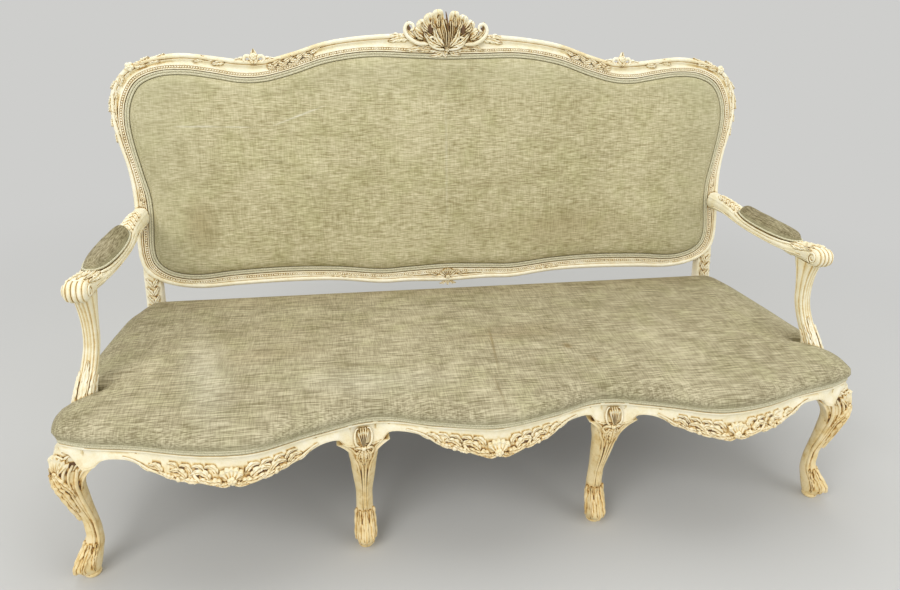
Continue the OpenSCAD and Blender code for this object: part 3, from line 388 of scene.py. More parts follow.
def ramp(tree, factor, stops):
    """Colour at the factor on a ramp whose stops are a place and a hex colour."""
    node = add_node(tree, "ValToRGB", {"Fac": factor})
    elements = node.color_ramp.elements
    while len(elements) < len(stops):
        elements.new(0.5)
    for element, (place, colour) in zip(elements, stops):
        element.position = place
        element.color = hex_rgba(colour)
    return node.outputs["Color"]


def bumped(tree, height, strength, distance):
    """Fine relief that only turns the light."""
    return add_node(tree, "Bump", {
        "Height": height, "Strength": strength, "Distance": distance}).outputs["Normal"]


def new_material(name):
    """An empty material with its shader: returns material, tree, shader and object coordinates."""
    material = bpy.data.materials.new(name)
    material.use_nodes = True
    tree = material.node_tree
    shader = tree.nodes["Principled BSDF"]
    place = add_node(tree, "TexCoord").outputs["Object"]
    return material, tree, shader, place


def per_metre(mm):
    """Texture scale at which one feature is that many millimetres wide."""
    return 1 / (mm * MM)


def stretched(tree, place, across, along, up):
    """Object coordinates scaled so that one feature has these sizes in millimetres."""
    scale = tuple(per_metre(v) for v in (across, along, up))
    return add_node(tree, "Mapping", {"Vector": place, "Scale": scale}).outputs["Vector"]


def mix_colour(tree, factor, first, second, blend="MIX"):
    """Mixes two colours and returns the result's socket."""
    node = add_node(tree, "Mix", data_type="RGBA", blend_type=blend)
    sockets = {"Factor_Float": factor, "A_Color": first, "B_Color": second}
    for socket in node.inputs:
        value = sockets.get(socket.identifier)
        if value is None:
            continue
        if isinstance(value, bpy.types.NodeSocket):
            tree.links.new(value, socket)
        else:
            socket.default_value = value
    return next(s for s in node.outputs if s.identifier == "Result_Color")


def painted_beech(colours):
    """Hand-painted beech, glazed and rubbed back: warm ochre and brown stay in the carving,
    the high parts are rubbed to a pale cream, the brush leaves fine soft streaks, and the paint
    is yellower on the legs and rails."""
    material, tree, shader, place = new_material("painted_glazed_beech")
    cloud, brush = noise(tree, place, per_metre(26), 6, 0.62), noise(tree, place, per_metre(3.2), 4, 0.7)
    low = ranged(tree, add_node(tree, "SeparateXYZ", {0: place}).outputs["Z"], 0.34, 0.26)
    level = weighted(tree, [(vertex_mark(tree, "glaze_and_shade"), 1.0), (cloud, 0.62), (brush, 0.34),
                            (calc(tree, "MULTIPLY", low, cloud), 0.80), (low, -0.38)])
    tone = ramp(tree, calc(tree, "SUBTRACT", level, 0.38), [
        (0.0, colours.highlight_hex), (0.16, colours.paint_hex), (0.40, colours.shade_hex),
        (0.64, colours.glaze_hex), (0.92, colours.recess_hex)])
    chip = noise(tree, place, per_metre(7), 9, 0.78)
    bare = ranged(tree, chip, 0.66, 0.72, 0, 0.75)
    worn = mix_colour(tree, bare, tone, hex_rgba(colours.glaze_hex))
    worn = mix_colour(tree, low, worn, hex_rgba(colours.leg_tint_hex), "MULTIPLY")
    relief = calc(tree, "MULTIPLY_ADD", chip, 0.5, brush)
    feed(tree, shader, {"Base Color": worn, "Roughness": 0.48, "Specular IOR Level": 0.4,
                        "Normal": bumped(tree, relief, 0.35, 0.0006)})
    return material


def weighted(tree, parts):
    """Sum of sockets, each times its share."""
    total = 0.0
    for socket, share in parts:
        total = calc(tree, "MULTIPLY_ADD", socket, share, total)
    return total


def oval_marks(tree, place, marks):
    """Soft-edged ovals, added up: middle and half sizes in millimetres, turn in degrees, strength."""
    parts = []
    for spot, half, turn, strength in marks:
        local = add_node(tree, "Mapping", {
            "Vector": place, "Location": [v * MM for v in spot], "Rotation": [math.radians(v) for v in turn],
            "Scale": [v * MM for v in half]}, vector_type="TEXTURE").outputs["Vector"]
        oval = add_node(tree, "TexGradient", {"Vector": local}, gradient_type="SPHERICAL")
        parts.append((oval.outputs["Fac"], strength))
    return weighted(tree, parts)


# Old marks in the velvet: middle, half sizes and turn, strength; scratches are pale, spots dark
PALE_MARKS = [
    ((-640, 285, 838), (70, 90, 3.6), (0, 0, 0), 1.2), ((-545, 285, 836), (62, 90, 2.6), (0, 1, 0), 0.8),
    ((-385, 290, 864), (92, 90, 3.2), (0, -20, 0), 1.0), ((-604, -200, 425), (70, 260, 90), (0, 0, 12), 0.35),
    ((-4, 285, 760), (5, 90, 290), (0, 0, 0), 0.30), ((-250, -260, 430), (230, 70, 60), (0, 0, -6), 0.35),
]
DARK_MARKS = [
    ((218, -168, 430), (17, 17, 40), (0, 0, 0), 1.6), ((66, 300, 977), (15, 60, 11), (0, 0, 0), 1.1),
    ((40, -160, 430), (5, 130, 60), (0, 0, -6), 0.8), ((16, -330, 430), (5, 110, 60), (0, 0, 2), 0.6),
    ((-658, 285, 590), (58, 90, 95), (0, 0, 0), 0.5), ((330, 285, 560), (300, 90, 60), (0, 0, 0), 0.4),
    ((120, -90, 430), (210, 60, 60), (0, 0, 4), 0.5), ((-470, -120, 430), (160, 60, 60), (0, 0, 8), 0.35),
]


def slub_velvet(name, colours, tones, run, yarn, spread, marked=True):
    """Cotton velvet woven with uneven slub yarns: short broken streaks along the sofa crossed by
    faint threads, cloudy where the pile is pressed, a little greener in patches, with old marks.
    Yarns are drawn 2 mm wide, coarser than woven, so that they show."""
    material, tree, shader, place = new_material(name)

    def yarns(along, across, detail):
        size = [along if axis == run else across for axis in "xyz"]
        return noise(tree, stretched(tree, place, *size), 1, detail, 0.6)

    def clouds(mm, detail):
        return noise(tree, place, per_metre(mm), detail, 0.6)

    slub, warp = yarns(yarn, 2.0, 2), yarns(2.2, 28, 1)
    level = weighted(tree, [(slub, 0.56), (warp, 0.20), (clouds(46, 2), 0.10), (clouds(250, 2), 0.14)])
    dark, mid, light = tones
    tone = ramp(tree, level, [(0.5 - spread, dark), (0.50, mid), (0.5 + spread, light)])
    green = ranged(tree, clouds(85, 3), 0.46, 0.66, 0, 0.30)
    tone = mix_colour(tree, green, tone, hex_rgba(colours.velvet_green_hex), "MULTIPLY")
    # Painted sheen: the velvet turns paler where the edge marks say, towards its rims
    tone = mix_colour(tree, vertex_mark(tree, "edge"), tone, hex_rgba(colours.velvet_sheen_hex))
    stain = vertex_mark(tree, "stain")
    if marked:
        ragged = ranged(tree, slub, 0.36, 0.60, 0.35, 1.2)
        pale = calc(tree, "MULTIPLY", oval_marks(tree, place, PALE_MARKS), ragged, use_clamp=True)
        tone = mix_colour(tree, pale, tone, hex_rgba(colours.rubbed_hex))
        spots = oval_marks(tree, place, DARK_MARKS)
        stain = calc(tree, "MULTIPLY_ADD", spots, ragged, stain, use_clamp=True)
    tone = mix_colour(tree, stain, tone, hex_rgba(colours.stain_hex), "MULTIPLY")
    height = weighted(tree, [(slub, 0.7), (warp, 0.3)])
    feed(tree, shader, {
        "Base Color": tone, "Roughness": 0.86, "Specular IOR Level": 0.18, "Sheen Weight": 0.22,
        "Sheen Roughness": 0.45, "Sheen Tint": hex_rgba(light), "Normal": bumped(tree, height, 0.6, 0.0008)})
    return material


def twisted_cord(colours):
    """Covered double cord in the velvet's own cloth: a fine slanting weave, with painted shade along the sides of the
    cords and between them.
    """
    material, tree, shader, place = new_material("covered_cord")
    weave = noise(tree, place, per_metre(2.4), 4, 0.7)
    tone = ramp(tree, weave, [
        (0.30, colours.cord_shade_hex), (0.55, colours.cord_hex), (0.80, colours.cord_light_hex)])
    # Painted shade from the cords' marks, in the darkest tone of the back velvet
    tone = mix_colour(tree, vertex_mark(tree, "glaze_and_shade"), tone, hex_rgba(colours.back_dark_hex))
    feed(tree, shader, {"Base Color": tone, "Roughness": 0.8, "Sheen Weight": 0.2,
                        "Normal": bumped(tree, weave, 0.4, 0.0005)})
    return material


def bare_beech(colours):
    """Sawn and planed beech, left bare inside the frame: long fine grain."""
    material, tree, shader, place = new_material("bare_beech")
    grain = noise(tree, stretched(tree, place, 120, 6, 6), 1, 5, 0.65)
    tone = ramp(tree, grain, [
        (0.28, colours.beech_dark_hex), (0.52, colours.beech_hex), (0.78, colours.beech_light_hex)])
    feed(tree, shader, {"Base Color": tone, "Roughness": 0.62, "Normal": bumped(tree, grain, 0.3, 0.0004)})
    return material


def plain_weave(name, dark, light, thread_mm):
    """Plain-woven cloth: crossing threads, light on top and dark in the gaps."""
    material, tree, shader, place = new_material(name)
    threads = [add_node(tree, "TexWave", {
        "Vector": place, "Scale": per_metre(thread_mm) / 6.283, "Distortion": 0.6},
        bands_direction=way).outputs["Fac"] for way in ("X", "DIAGONAL")]
    woven = calc(tree, "MULTIPLY", *threads)
    feed(tree, shader, {"Base Color": ramp(tree, woven, [(0.0, dark), (0.8, light)]), "Roughness": 0.9,
                        "Normal": bumped(tree, woven, 0.5, 0.0005)})
    return material


def bright_steel():
    """Slotted steel screws, lightly tarnished."""
    material, tree, shader, place = new_material("tarnished_steel")
    tone = ramp(tree, noise(tree, place, per_metre(2), 4), [(0.35, "#6F6B64"), (0.7, "#A39E94")])
    feed(tree, shader, {"Base Color": tone, "Metallic": 1, "Roughness": 0.42})
    return material


# Section of the back frame: which edge it is measured from, how far, and how high it stands
# out of the face. "in" is millimetres from the inner edge, "out" from the outer edge,
# "mid" a share of the width between.
BACK_SECTION = [
    ("in", 0, -FRAME_T), ("in", 0, -12), ("in", 0, -3.2), ("in", 1, -2.4), ("in", WELT_LEDGE_W - 1, -2.2),
    ("in", WELT_LEDGE_W, -1.6), ("in", WELT_LEDGE_W, 2.6), ("in", WELT_LEDGE_W + 0.8, 3.6),
    ("in", WELT_LEDGE_W + 2.6, 3.6), ("in", WELT_LEDGE_W + 3.4, 2.8), ("in", WELT_LEDGE_W + 3.8, 2.2),
    ("in", WELT_LEDGE_W + 9.2, 2.2), ("in", WELT_LEDGE_W + 9.6, 2.8), ("in", WELT_LEDGE_W + 10.4, 3.6),
    ("in", WELT_LEDGE_W + 12.0, 3.6), ("in", WELT_LEDGE_W + 13.6, 2.2), ("mid", 0.2, 0.6), ("mid", 0.4, -0.8),
    ("mid", 0.6, -1.0), ("mid", 0.8, 0.2), ("out", 16.5, 2.2), ("out", 15.2, 4.0), ("out", 13.8, 4.2),
    ("out", 13.0, 2.2), ("out", 12.2, 2.0), ("out", 11.4, 3.8), ("out", 9.5, 5.6), ("out", 7.0, 6.4),
    ("out", 4.4, 6.0), ("out", 2.0, 4.4), ("out", 0.6, 2.0), ("out", 0, -1.0), ("out", 0.4, -4.5),
    ("out", 1.6, -6.5), ("out", 1.6, -9), ("out", 0.6, -11), ("out", 0.6, -18), ("out", 0.8, -FRAME_T + 2),
    ("out", 2.5, -FRAME_T),
]
FACE_IN, FACE_OUT = WELT_LEDGE_W + 14, 17


def section_across(entry, inner, outer):
    """Point of the section between the inner and the outer edge, in the plane of the back."""
    kind, place, _ = entry
    span = outer - inner
    width = float(np.linalg.norm(span))
    across = span / width
    if kind == "in":
        return inner + across * place
    if kind == "out":
        return outer - across * place
    return inner + across * mix(FACE_IN, width - FACE_OUT, place)


def back_ring(s):
    """Moulded section of the back frame at s stations round it."""
    p = closed_at(BACK_LOOP, s)
    inner, outer = np.array([p[0], p[1]]), np.array([p[2], p[3]])
    ring = []
    for entry in BACK_SECTION:
        q = section_across(entry, inner, outer)
        ring.append(on_back(q[0], q[1], entry[2]))
    return ring


def on_frame(s, across, rise):
    """Point on the back frame: station, share from inner to outer edge, height over the face."""
    p = closed_at(BACK_LOOP, s)
    inner, outer = np.array([p[0], p[1]]), np.array([p[2], p[3]])
    q = inner + (outer - inner) * across
    return on_back(q[0], q[1], rise)


BACK_NORMAL = on_back(0, 0, 1) - on_back(0, 0, 0)
# Stretches of the back frame that are carved with leaves, and how much glaze stays there
SPRAYS = [(12.7, 15.7, 0.10), (16.1, 17.7, 0.12), (18.4, 20.1, 0.08), (20.3, 21.0, 0.14), (21.1, 23.0, 0.20),
          (24.9, 26.0, 0.16)]


def spray_glaze(s):
    """Glaze left around the carved leaves at s stations round the frame."""
    s = min(s, LOOP_LEN - s)
    return max(glaze_and_shade * smooth(a - 0.15, a + 0.15, s) * (1 - smooth(b - 0.15, b + 0.15, s)) for a, b, glaze_and_shade in SPRAYS)


STEPS = 22


def back_member(name, start, end, material, carve):
    """One member of the back frame, swept between two stations."""
    shape = Shape()
    count = int((end - start) * STEPS)
    places = [mix(start, end, k / count) for k in range(count + 1)]
    shape.loft([back_ring(s) for s in places],
               [[spray_glaze(s) if 17 < k < 33 else -0.28 if 7 < k < 15 else 0 for k in range(len(BACK_SECTION))]
                for s in places])
    add_beads(shape, start, end)
    carve(shape)
    return wooden(name, shape, material)


BEAD_SIDES = 6


def half_bead(shape, centre, out, along, radius, stretch=1.15):
    """A small half-round bead sunk into the surface."""
    side = np.cross(out, along)
    verts, faces = [centre + out * radius], []
    for lift, girth in ((0.72, 0.68), (0.2, 0.98)):
        for j in range(BEAD_SIDES):
            a = j * 2 * math.pi / BEAD_SIDES
            verts.append(centre + out * radius * lift
                         + (along * math.cos(a) * stretch + side * math.sin(a)) * radius * girth)
    base = len(verts)
    verts.append(centre - out * radius * 0.4)
    for j in range(BEAD_SIDES):
        k = (j + 1) % BEAD_SIDES
        faces.append((0, 1 + j, 1 + k))
        faces.append((1 + j, 1 + BEAD_SIDES + j, 1 + BEAD_SIDES + k, 1 + k))
        faces.append((base, 1 + BEAD_SIDES + k, 1 + BEAD_SIDES + j))
    shape.add(verts, faces, [-0.45] * len(verts))


BEAD_PITCH = 6.4


def add_beads(shape, start, end):
    """Row of fine beads between the fillets of the back frame."""
    samples, radius = [mix(start, end, k / 2000) for k in range(2001)], size_mm("bead_width") / 2
    entry = ("in", WELT_LEDGE_W + 6.5, 2.2)
    points = []
    for s in samples:
        p = closed_at(BACK_LOOP, s)
        q = section_across(entry, np.array([p[0], p[1]]), np.array([p[2], p[3]]))
        points.append(on_back(q[0], q[1], 2.2))
    points = np.array(points)
    runs = np.concatenate([[0], np.cumsum(np.linalg.norm(np.diff(points, axis=0), axis=1))])
    count = int(runs[-1] / BEAD_PITCH)
    for k in range(count):
        want = (k + 0.5) * runs[-1] / count
        i = min(int(np.searchsorted(runs, want)), len(points) - 2)
        along = points[i + 1] - points[i]
        along = along / np.linalg.norm(along)
        half_bead(shape, points[i], BACK_NORMAL, along, radius)


# Section of a front rail: how far in front of its line, as a share of the swell, how deep
# below its top as a share of the depth, and small steps in millimetres
def rail_section(swell, depth):
    """Outward and downward places of the moulded face of a seat rail."""
    return [
        (-3.0, 0), (-0.8, 0.5), (0.4, 2), (0.6, 4.5), (-0.4, 6.2), (-2.2, 7.0), (-3.2, 8.4), (-3.4, depth * 0.30),
        (-2.6 + swell * 0.08, depth * 0.42), (swell * 0.30, depth * 0.56), (swell * 0.56, depth * 0.68),
        (swell * 0.80, depth * 0.78), (swell * 0.96, depth * 0.84), (swell * 1.0, depth * 0.88),
        (swell * 0.86, depth * 0.905), (swell * 0.90, depth * 0.93), (swell * 1.04, depth * 0.95),
        (swell * 1.04, depth * 0.985), (swell * 0.9, depth),
    ]


def front_normal(x):
    """Outward direction of the front rail at x."""
    slope = (front_line(x + 1) - front_line(x - 1)) / 2
    n = np.array([slope, -1.0])
    return n / np.linalg.norm(n)


THIN_EDGE = 0.58


def face_depth(grow):
    """Depth of a rail's moulded face: at its thin ends the edge is undercut behind it."""
    return (RAIL_D + (APRON_D - RAIL_D) * grow) * mix(THIN_EDGE, 1, smooth(0, 0.35, grow))


def front_rail_ring(x, x0, x1):
    grow = apron_grow(x)
    depth = RAIL_D + (APRON_D - RAIL_D) * grow
    swell = APRON_SWELL * (0.35 + 0.65 * grow)
    s = (x - x0) / (x1 - x0)
    middle = min(1.0, 5 * s * (1 - s))
    y = front_line(x)
    rear = mix(BLOCK_REAR_Y, y + RAIL_T + APRON_SWELL, middle * min(1.0, BELLY_D / RAIL_T))
    n = front_normal(x)
    ring = [np.array([x, rear, RAIL_TOP_H])]
    for out, down in rail_section(swell, face_depth(grow)):
        ring.append(np.array([x + n[0] * out, y + n[1] * out, RAIL_TOP_H - down]))
    ring.append(np.array([x, rear, RAIL_TOP_H - depth]))
    return ring


def front_rail(name, x0, x1, material, carve):
    shape = Shape()
    count = int(abs(x1 - x0) / 3.5)
    rings = [front_rail_ring(mix(x0, x1, k / count), x0, x1) for k in range(count + 1)]
    shape.loft(rings, seam_marks(rings))
    carve(shape)
    return wooden(name, shape, material)


def side_rail(name, sign, material):
    shape = Shape()
    rings = []
    for k in range(121):
        s = k / 120
        dip = math.sin(math.pi * s) ** 2
        depth = RAIL_D + (APRON_D - RAIL_D) * 0.55 * dip
        swell = APRON_SWELL * (0.3 + 0.7 * dip) * 0.8
        outer, inner = side_at(s, RAIL_T / 2), side_at(s, -RAIL_T / 2)
        ring = [np.array([inner[0] * sign, inner[1], RAIL_TOP_H])]
        for out, down in rail_section(swell, depth):
            ring.append(np.array([(outer[0] + out) * sign, outer[1], RAIL_TOP_H - down]))
        ring.append(np.array([inner[0] * sign, inner[1], RAIL_TOP_H - depth]))
        rings.append(ring)
    shape.loft(rings)
    return wooden(name, shape, material)


def leg_share(row):
    """Middle, half depth and half width of the cabriole leg at a row of its table."""
    girth = ANKLE_W if row[0] < 0.45 else KNEE_REACH
    return np.array([row[0] * RAIL_TOP_H, row[1] * KNEE_REACH, row[2] * girth, row[3] * girth])


LEG_TABLE = np.array([leg_share(row) for row in LEG_SHARES])
LEG_SIDES = 40


def leg_point(foot, u, shares, k, angle, rise=0.0):
    """Point on the cabriole leg: row of its table from the top, angle from its outer line.
    Its shares are the width of the head and of the shaft, then how far in front of the shaft
    the head comes, in millimetres, and how square it is."""
    z, middle, depth, width = open_at(LEG_TABLE, k)
    head, shaft, forward, square = shares
    high = smooth(0.70, 0.86, z / RAIL_TOP_H)
    calf = 1 + 0.16 * smooth(0.14, 0.34, z / RAIL_TOP_H) * (1 - smooth(0.50, 0.74, z / RAIL_TOP_H))
    depth, width = depth * calf, width * calf
    width_share = mix(shaft, head, smooth(0.74, 0.84, z / RAIL_TOP_H))
    v = np.array([-u[1], u[0]])
    c, s = math.cos(angle), math.sin(angle)
    ridge = 1 + 0.10 * max(0.0, c) ** 6
    groove = 1 - 0.035 * math.exp(-((abs(s) - 0.78) / 0.10) ** 2)
    power = mix(1, square, high)
    reach = (depth * ridge * groove + rise + (forward * high if c > 0 else 0)) * signed_power(c, power)
    girth = (width * width_share * groove + rise) * signed_power(s, power)
    spot = foot + u * middle + u * reach + v * girth
    return np.array([spot[0], spot[1], z])


def foot_pad(shape, foot):
    """Low turned pad under the scroll foot."""
    rings = []
    for share, z in [(0.80, 0), (0.94, 0.6), (1, 2.2), (1, PAD_H - 3), (0.95, PAD_H - 1), (0.80, PAD_H + 1.5)]:
        rings.append([np.array([foot[0] + PAD_DIA / 2 * share * math.cos(a), foot[1]
                                + PAD_DIA / 2 * share * math.sin(a), z])
                      for a in even_angles(32)])
    shape.loft(rings)


def seam_marks(rings):
    """Keeps glaze off both ends of a moulding, where it runs on into the next piece."""
    last = len(rings) - 1
    return [[-1.0 if k < 2 or k > last - 2 else 0.0] * len(ring) for k, ring in enumerate(rings)]


def moulding_ring(spot, normal, back, depth, swell):
    """Section of the rail moulding at a point of its line."""
    ring = [np.array([back[0], back[1], RAIL_TOP_H])]
    for out, down in rail_section(swell, depth):
        ring.append(np.array([spot[0] + normal[0] * out, spot[1] + normal[1] * out, RAIL_TOP_H - down]))
    ring.append(np.array([back[0], back[1], RAIL_TOP_H - depth]))
    return ring


def corner_moulding(shape):
    """Carries the moulding of the front rail round the corner leg to the side rail."""
    x0 = CORNER_BLOCK_X - LEG_BLOCK / 2
    side, inner = side_at(0, RAIL_T / 2), side_at(0, -RAIL_T / 2)
    grow = apron_grow(x0)
    line = [(np.array([x0, front_line(x0)]), front_normal(x0))]
    line += [(p + n * SEAT_INSET, n) for p, n in zip(SEAT_LINE, SEAT_OUT) if p[0] > x0 + 3 and p[1] < side[1] - 3]
    line.append((np.array(side[:2]), unit(np.array(side[:2]) - np.array(inner[:2]))))
    rings = []
    for k, (spot, normal) in enumerate(line):
        turn = smooth(0, 0.3, k / (len(line) - 1))
        back = mix(np.array([x0, BLOCK_REAR_Y]), spot, 0.3)
        rings.append(moulding_ring(spot, normal, back, mix(face_depth(grow), RAIL_D * THIN_EDGE, turn),
                                   APRON_SWELL * mix(0.35 + 0.65 * grow, 0.24, turn)))
    shape.loft(rings, seam_marks(rings))


def bracket(shape, low, high, along, out, run, deep):
    """Curved bracket in the corner between a leg and a rail, with a raised lip along its edge:
    it runs from low on the leg to high under the rail, spreading along the rail by run.
    Three beads follow its edge."""
    low, high, along, out = (np.array(v, dtype=float) for v in (low, high, along, out))
    rings = []
    for k in range(19):
        t = k / 18
        base = mix(low, high, t)
        spread = run * t ** 2.4
        rings.append([base + along * (spread + a) + out * b for a, b in
                      ((-spread - 14, 0), (-5, 0), (-4, 1.2), (-2, 1.8), (-0.4, 1.0), (0, -2), (0, -deep),
                       (-spread - 14, -deep))])
    shape.loft(rings)
    for inset, size in ((11, 2.6), (19, 2.8), (28, 2.6)):
        places = [mix(low, high, t) + along * (run * t ** 2.4 * (1 - inset / 90) - inset) + out * 0.2
                  for t in np.linspace(0.02, 0.97, 9)]
        stem(shape, places, [out] * 9, size, size * 0.7)


def cabriole_leg(name, foot, u, shares, head_x, sign, material, carve):
    foot, u = np.array(foot), np.array(u) / np.linalg.norm(u)
    shape = Shape()
    count = (len(LEG_TABLE) - 1) * 8
    angles = even_angles(LEG_SIDES)
    shape.loft([[leg_point(foot, u, shares, k * (len(LEG_TABLE) - 1) / count, a) for a in angles]
                for k in range(count, -1, -1)])
    foot_pad(shape, foot)
    half = LEG_BLOCK / 2
    if u[0] > 0.1:
        corner_moulding(shape)
        bracket(shape, (850, -318, 218), (840, -334, 324), (-1, 0, 0), (0, -1, 0), 64, 24)
        side = side_at(0, RAIL_T / 2)
        bracket(shape, (side[0] - 5, -282, 268), (side[0] + 3, -268, 317), (0, 1, 0), (1, 0, 0), 30, 24)
    else:
        rings = [front_rail_ring(x, head_x - half, head_x + half) for x in
                 np.linspace(head_x - half - 0.3, head_x + half + 0.3, 19)]
        shape.loft(rings, seam_marks(rings))
        for side in (1, -1):
            x = head_x + side * 22
            bracket(shape, (x - side * 2, -331, 246), (x, front_line(x) - 8, 310), (side, 0, 0), (0, -1, 0), 34, 26)
    carve(shape, foot, u, shares)
    return wooden(name, shape, material, sign)


def tilt_at(z):
    return (z - BACK_FOOT_H) * math.tan(BACK_TILT)


POST_PLACES = np.array([
    [BACK_FOOT_H + BACK_RISE * 0.15, FRAME_T / 2 + tilt_at(BACK_FOOT_H + BACK_RISE * 0.15), 0.42, 0.38],
    [BACK_FOOT_H + BACK_RISE * 0.08, FRAME_T / 2 + tilt_at(BACK_FOOT_H + BACK_RISE * 0.08), 0.5, 0.4],
    [BACK_FOOT_H, FRAME_T / 2, 0.5, 0.42],
    [RAIL_TOP_H, POST_Y - BACK_Y, 0.5, 0.5],
    [RAIL_TOP_H - 60, POST_Y - BACK_Y, 0.5, 0.5],
    [RAIL_TOP_H * 0.62, mix(POST_Y - BACK_Y, REAR_RAKE, 0.12), 0.46, 0.46],
    [RAIL_TOP_H * 0.42, mix(POST_Y - BACK_Y, REAR_RAKE, 0.42), 0.41, 0.41],
    [RAIL_TOP_H * 0.20, mix(POST_Y - BACK_Y, REAR_RAKE, 0.80), 0.37, 0.37],
    [PAD_H, REAR_RAKE, 0.38, 0.38],
])


def soft_square(cx, cy, hw, hd, z, power=0.35, sides=32):
    """Square with rounded corners, level."""
    ring = []
    for a in even_angles(sides):
        c, s = math.cos(a), math.sin(a)
        ring.append(np.array([cx + hw * signed_power(c, power),
                              cy + hd * signed_power(s, power), z]))
    return ring


def rear_post(shape):
    """Post and splayed rear leg under the back frame, in one piece with the stile."""
    rings = []
    for k in range(8 * 8, -1, -1):
        z, y, w, d = open_at(POST_PLACES, k / 8)
        rings.append(soft_square(POST_X, BACK_Y + y, POST_W * w, POST_W * d, z))
    shape.loft(rings)
    pad = REAR_FOOT_W / 2
    shape.loft([soft_square(POST_X, REAR_FOOT_Y, pad * g, pad * g, z, 1, 28)
                for z, g in [(0, 0.85), (1, 0.97), (PAD_H - 1, 1), (PAD_H + 4, 0.9)]])


def stile(name, sign, material, carve):
    shape = Shape()
    count = int((CREST_START - RAIL_END) * STEPS)
    shape.loft([back_ring(mix(RAIL_END, CREST_START, k / count)) for k in range(count + 1)])
    add_beads(shape, RAIL_END, CREST_START)
    rear_post(shape)
    carve(shape)
    return wooden(name, shape, material, sign)


# Arm: share along it, half width and half thickness as shares, lift of its middle
ARM_TABLE = np.array([
    [0.0, 0.20, 0.20, 0.16], [0.02, 0.40, 0.44, 0.20], [0.06, 0.50, 0.58, 0.24], [0.12, 0.52, 0.50, 0.12],
    [0.19, 0.54, 0.46, -0.04], [0.26, 0.62, 0.46, -0.14], [0.40, 0.68, 0.45, -0.20], [0.58, 0.67, 0.45, -0.20],
    [0.70, 0.58, 0.50, -0.12], [0.78, 0.47, 0.58, -0.02], [0.88, 0.43, 0.66, 0.04], [1, 0.42, 0.74, 0],
])
ARM_SETBACK = 217
ARM_FRONT_Y = FRONT_Y + ARM_SETBACK - ARM_T / 4
ARM_FRONT_X = HALF_SOFA - ARM_W * 1.45
ARM_REAR_X = POST_X + POST_W / 6
ARM_REAR_H = ARM_H - ARM_T * 0.65
ARM_BOW = 4
ARM_Z = ARM_H - ARM_T * 0.75
ARM_REAR_Y = BACK_Y + tilt_at(ARM_REAR_H) - 6.15 / math.cos(BACK_TILT)
ARM_LEN = ARM_REAR_Y - ARM_FRONT_Y
PAD_MID, PAD_WIDTH = 0.46, 0.60
SUPPORT_TOP_Z = ARM_Z - ARM_T * 0.42
SOLE_END = 0.2


def arm_mid(t, lift):
    return np.array([mix(ARM_FRONT_X, ARM_REAR_X, t) + ARM_BOW * math.sin(math.pi * max(0.0, t)),
                     mix(ARM_FRONT_Y, ARM_REAR_Y, t), mix(ARM_Z, ARM_REAR_H, t) + lift * ARM_T])


# Angle round the arm and how far in the moulding is cut, in millimetres
ARM_GROOVES = [(0.30, 1.6), (0.72, 1.3), (math.pi - 0.30, 1.6), (math.pi - 0.72, 1.3)]


def arm_ring(row, sides=56):
    t, w, h, lift = row
    c = arm_mid(t, lift)
    lean = max(0.0, (t - 0.8) * 5)
    over = 1 - smooth(SOLE_END, SOLE_END + 0.06, t)
    lowest = SUPPORT_TOP_Z if t < SOLE_END else 0
    ring = []
    for a in even_angles(sides):
        ca, sa = math.cos(a), math.sin(a)
        cut = sum(d * math.exp(-(((a - g + math.pi) % (2 * math.pi) - math.pi) / 0.085) ** 2)
                  for g, d in ARM_GROOVES)
        flat = mix(0.82, 1.25, over) if sa < 0 else 1
        out = (ARM_W * w - cut) * signed_power(ca, 0.75)
        up = (ARM_T * h * flat - cut) * signed_power(sa, 0.8)
        ring.append(np.array([c[0] + out, c[1] + up * lean * math.tan(BACK_TILT), max(c[2] + up, lowest)]))
    return ring


def arm(name, sign, material, carve):
    shape = Shape()
    count = (len(ARM_TABLE) - 1) * 12
    shape.loft([arm_ring(open_at(ARM_TABLE, k * (len(ARM_TABLE) - 1) / count)) for k in range(count + 1)])
    carve(shape)
    return wooden(name, shape, material, sign)


SUPPORT_FOOT = side_at(0.12, 0)
SUPPORT_TABLE = np.array([
    [0, 0, 1, 0.56, 0.60], [0.10, -0.18, 0.97, 0.58, 0.66], [0.22, 0.10, 0.80, 0.50, 0.58],
    [0.38, 0.70, 0.42, 0.45, 0.46], [0.55, 1.15, 0.14, 0.42, 0.44], [0.72, 1.32, 0.03, 0.42, 0.48],
    [0.86, 1.42, 0, 0.45, 0.66], [0.95, 1.50, 0, 0.48, 0.90], [1, 1.52, 0, 0.50, 0.98],
])


def support_mid(row):
    return np.array([mix(ARM_FRONT_X, SUPPORT_FOOT[0], row[2]), SUPPORT_FOOT[1] + SUPPORT_W * row[1],
                     mix(RAIL_TOP_H, SUPPORT_TOP_Z, row[0])])


def arm_support(name, sign, material, carve):
    shape = Shape()
    count = (len(SUPPORT_TABLE) - 1) * 10
    rings, marks = [], []
    for k in range(count + 1):
        row = open_at(SUPPORT_TABLE, k * (len(SUPPORT_TABLE) - 1) / count)
        c = support_mid(row)
        ring, mark = [], []
        for a in even_angles(96):
            ca, sa = math.cos(a), math.sin(a)
            flute = 1.5 * sum(math.exp(-(((a - g + math.pi) % (2 * math.pi) - math.pi) / 0.10) ** 2)
                              for g in (0.3, math.pi - 0.3, -0.30, math.pi + 0.30))
            if sa < -0.35:
                across = signed_power(ca, 0.7)
                flute += 2.2 * (1 - abs(math.cos(math.pi * 2.5 * across)) ** 0.6) * smooth(-0.35, -0.55, sa)
            mark.append(0.30 * flute)
            ring.append(np.array([
                c[0] + (SUPPORT_W * row[3] - flute) * signed_power(ca, 0.7),
                c[1] + (SUPPORT_W * row[4] - flute) * signed_power(sa, 0.7), c[2]]))
        rings.append(ring)
        marks.append(mark)
    shape.loft(rings, marks)
    carve(shape)
    return wooden(name, shape, material, sign)


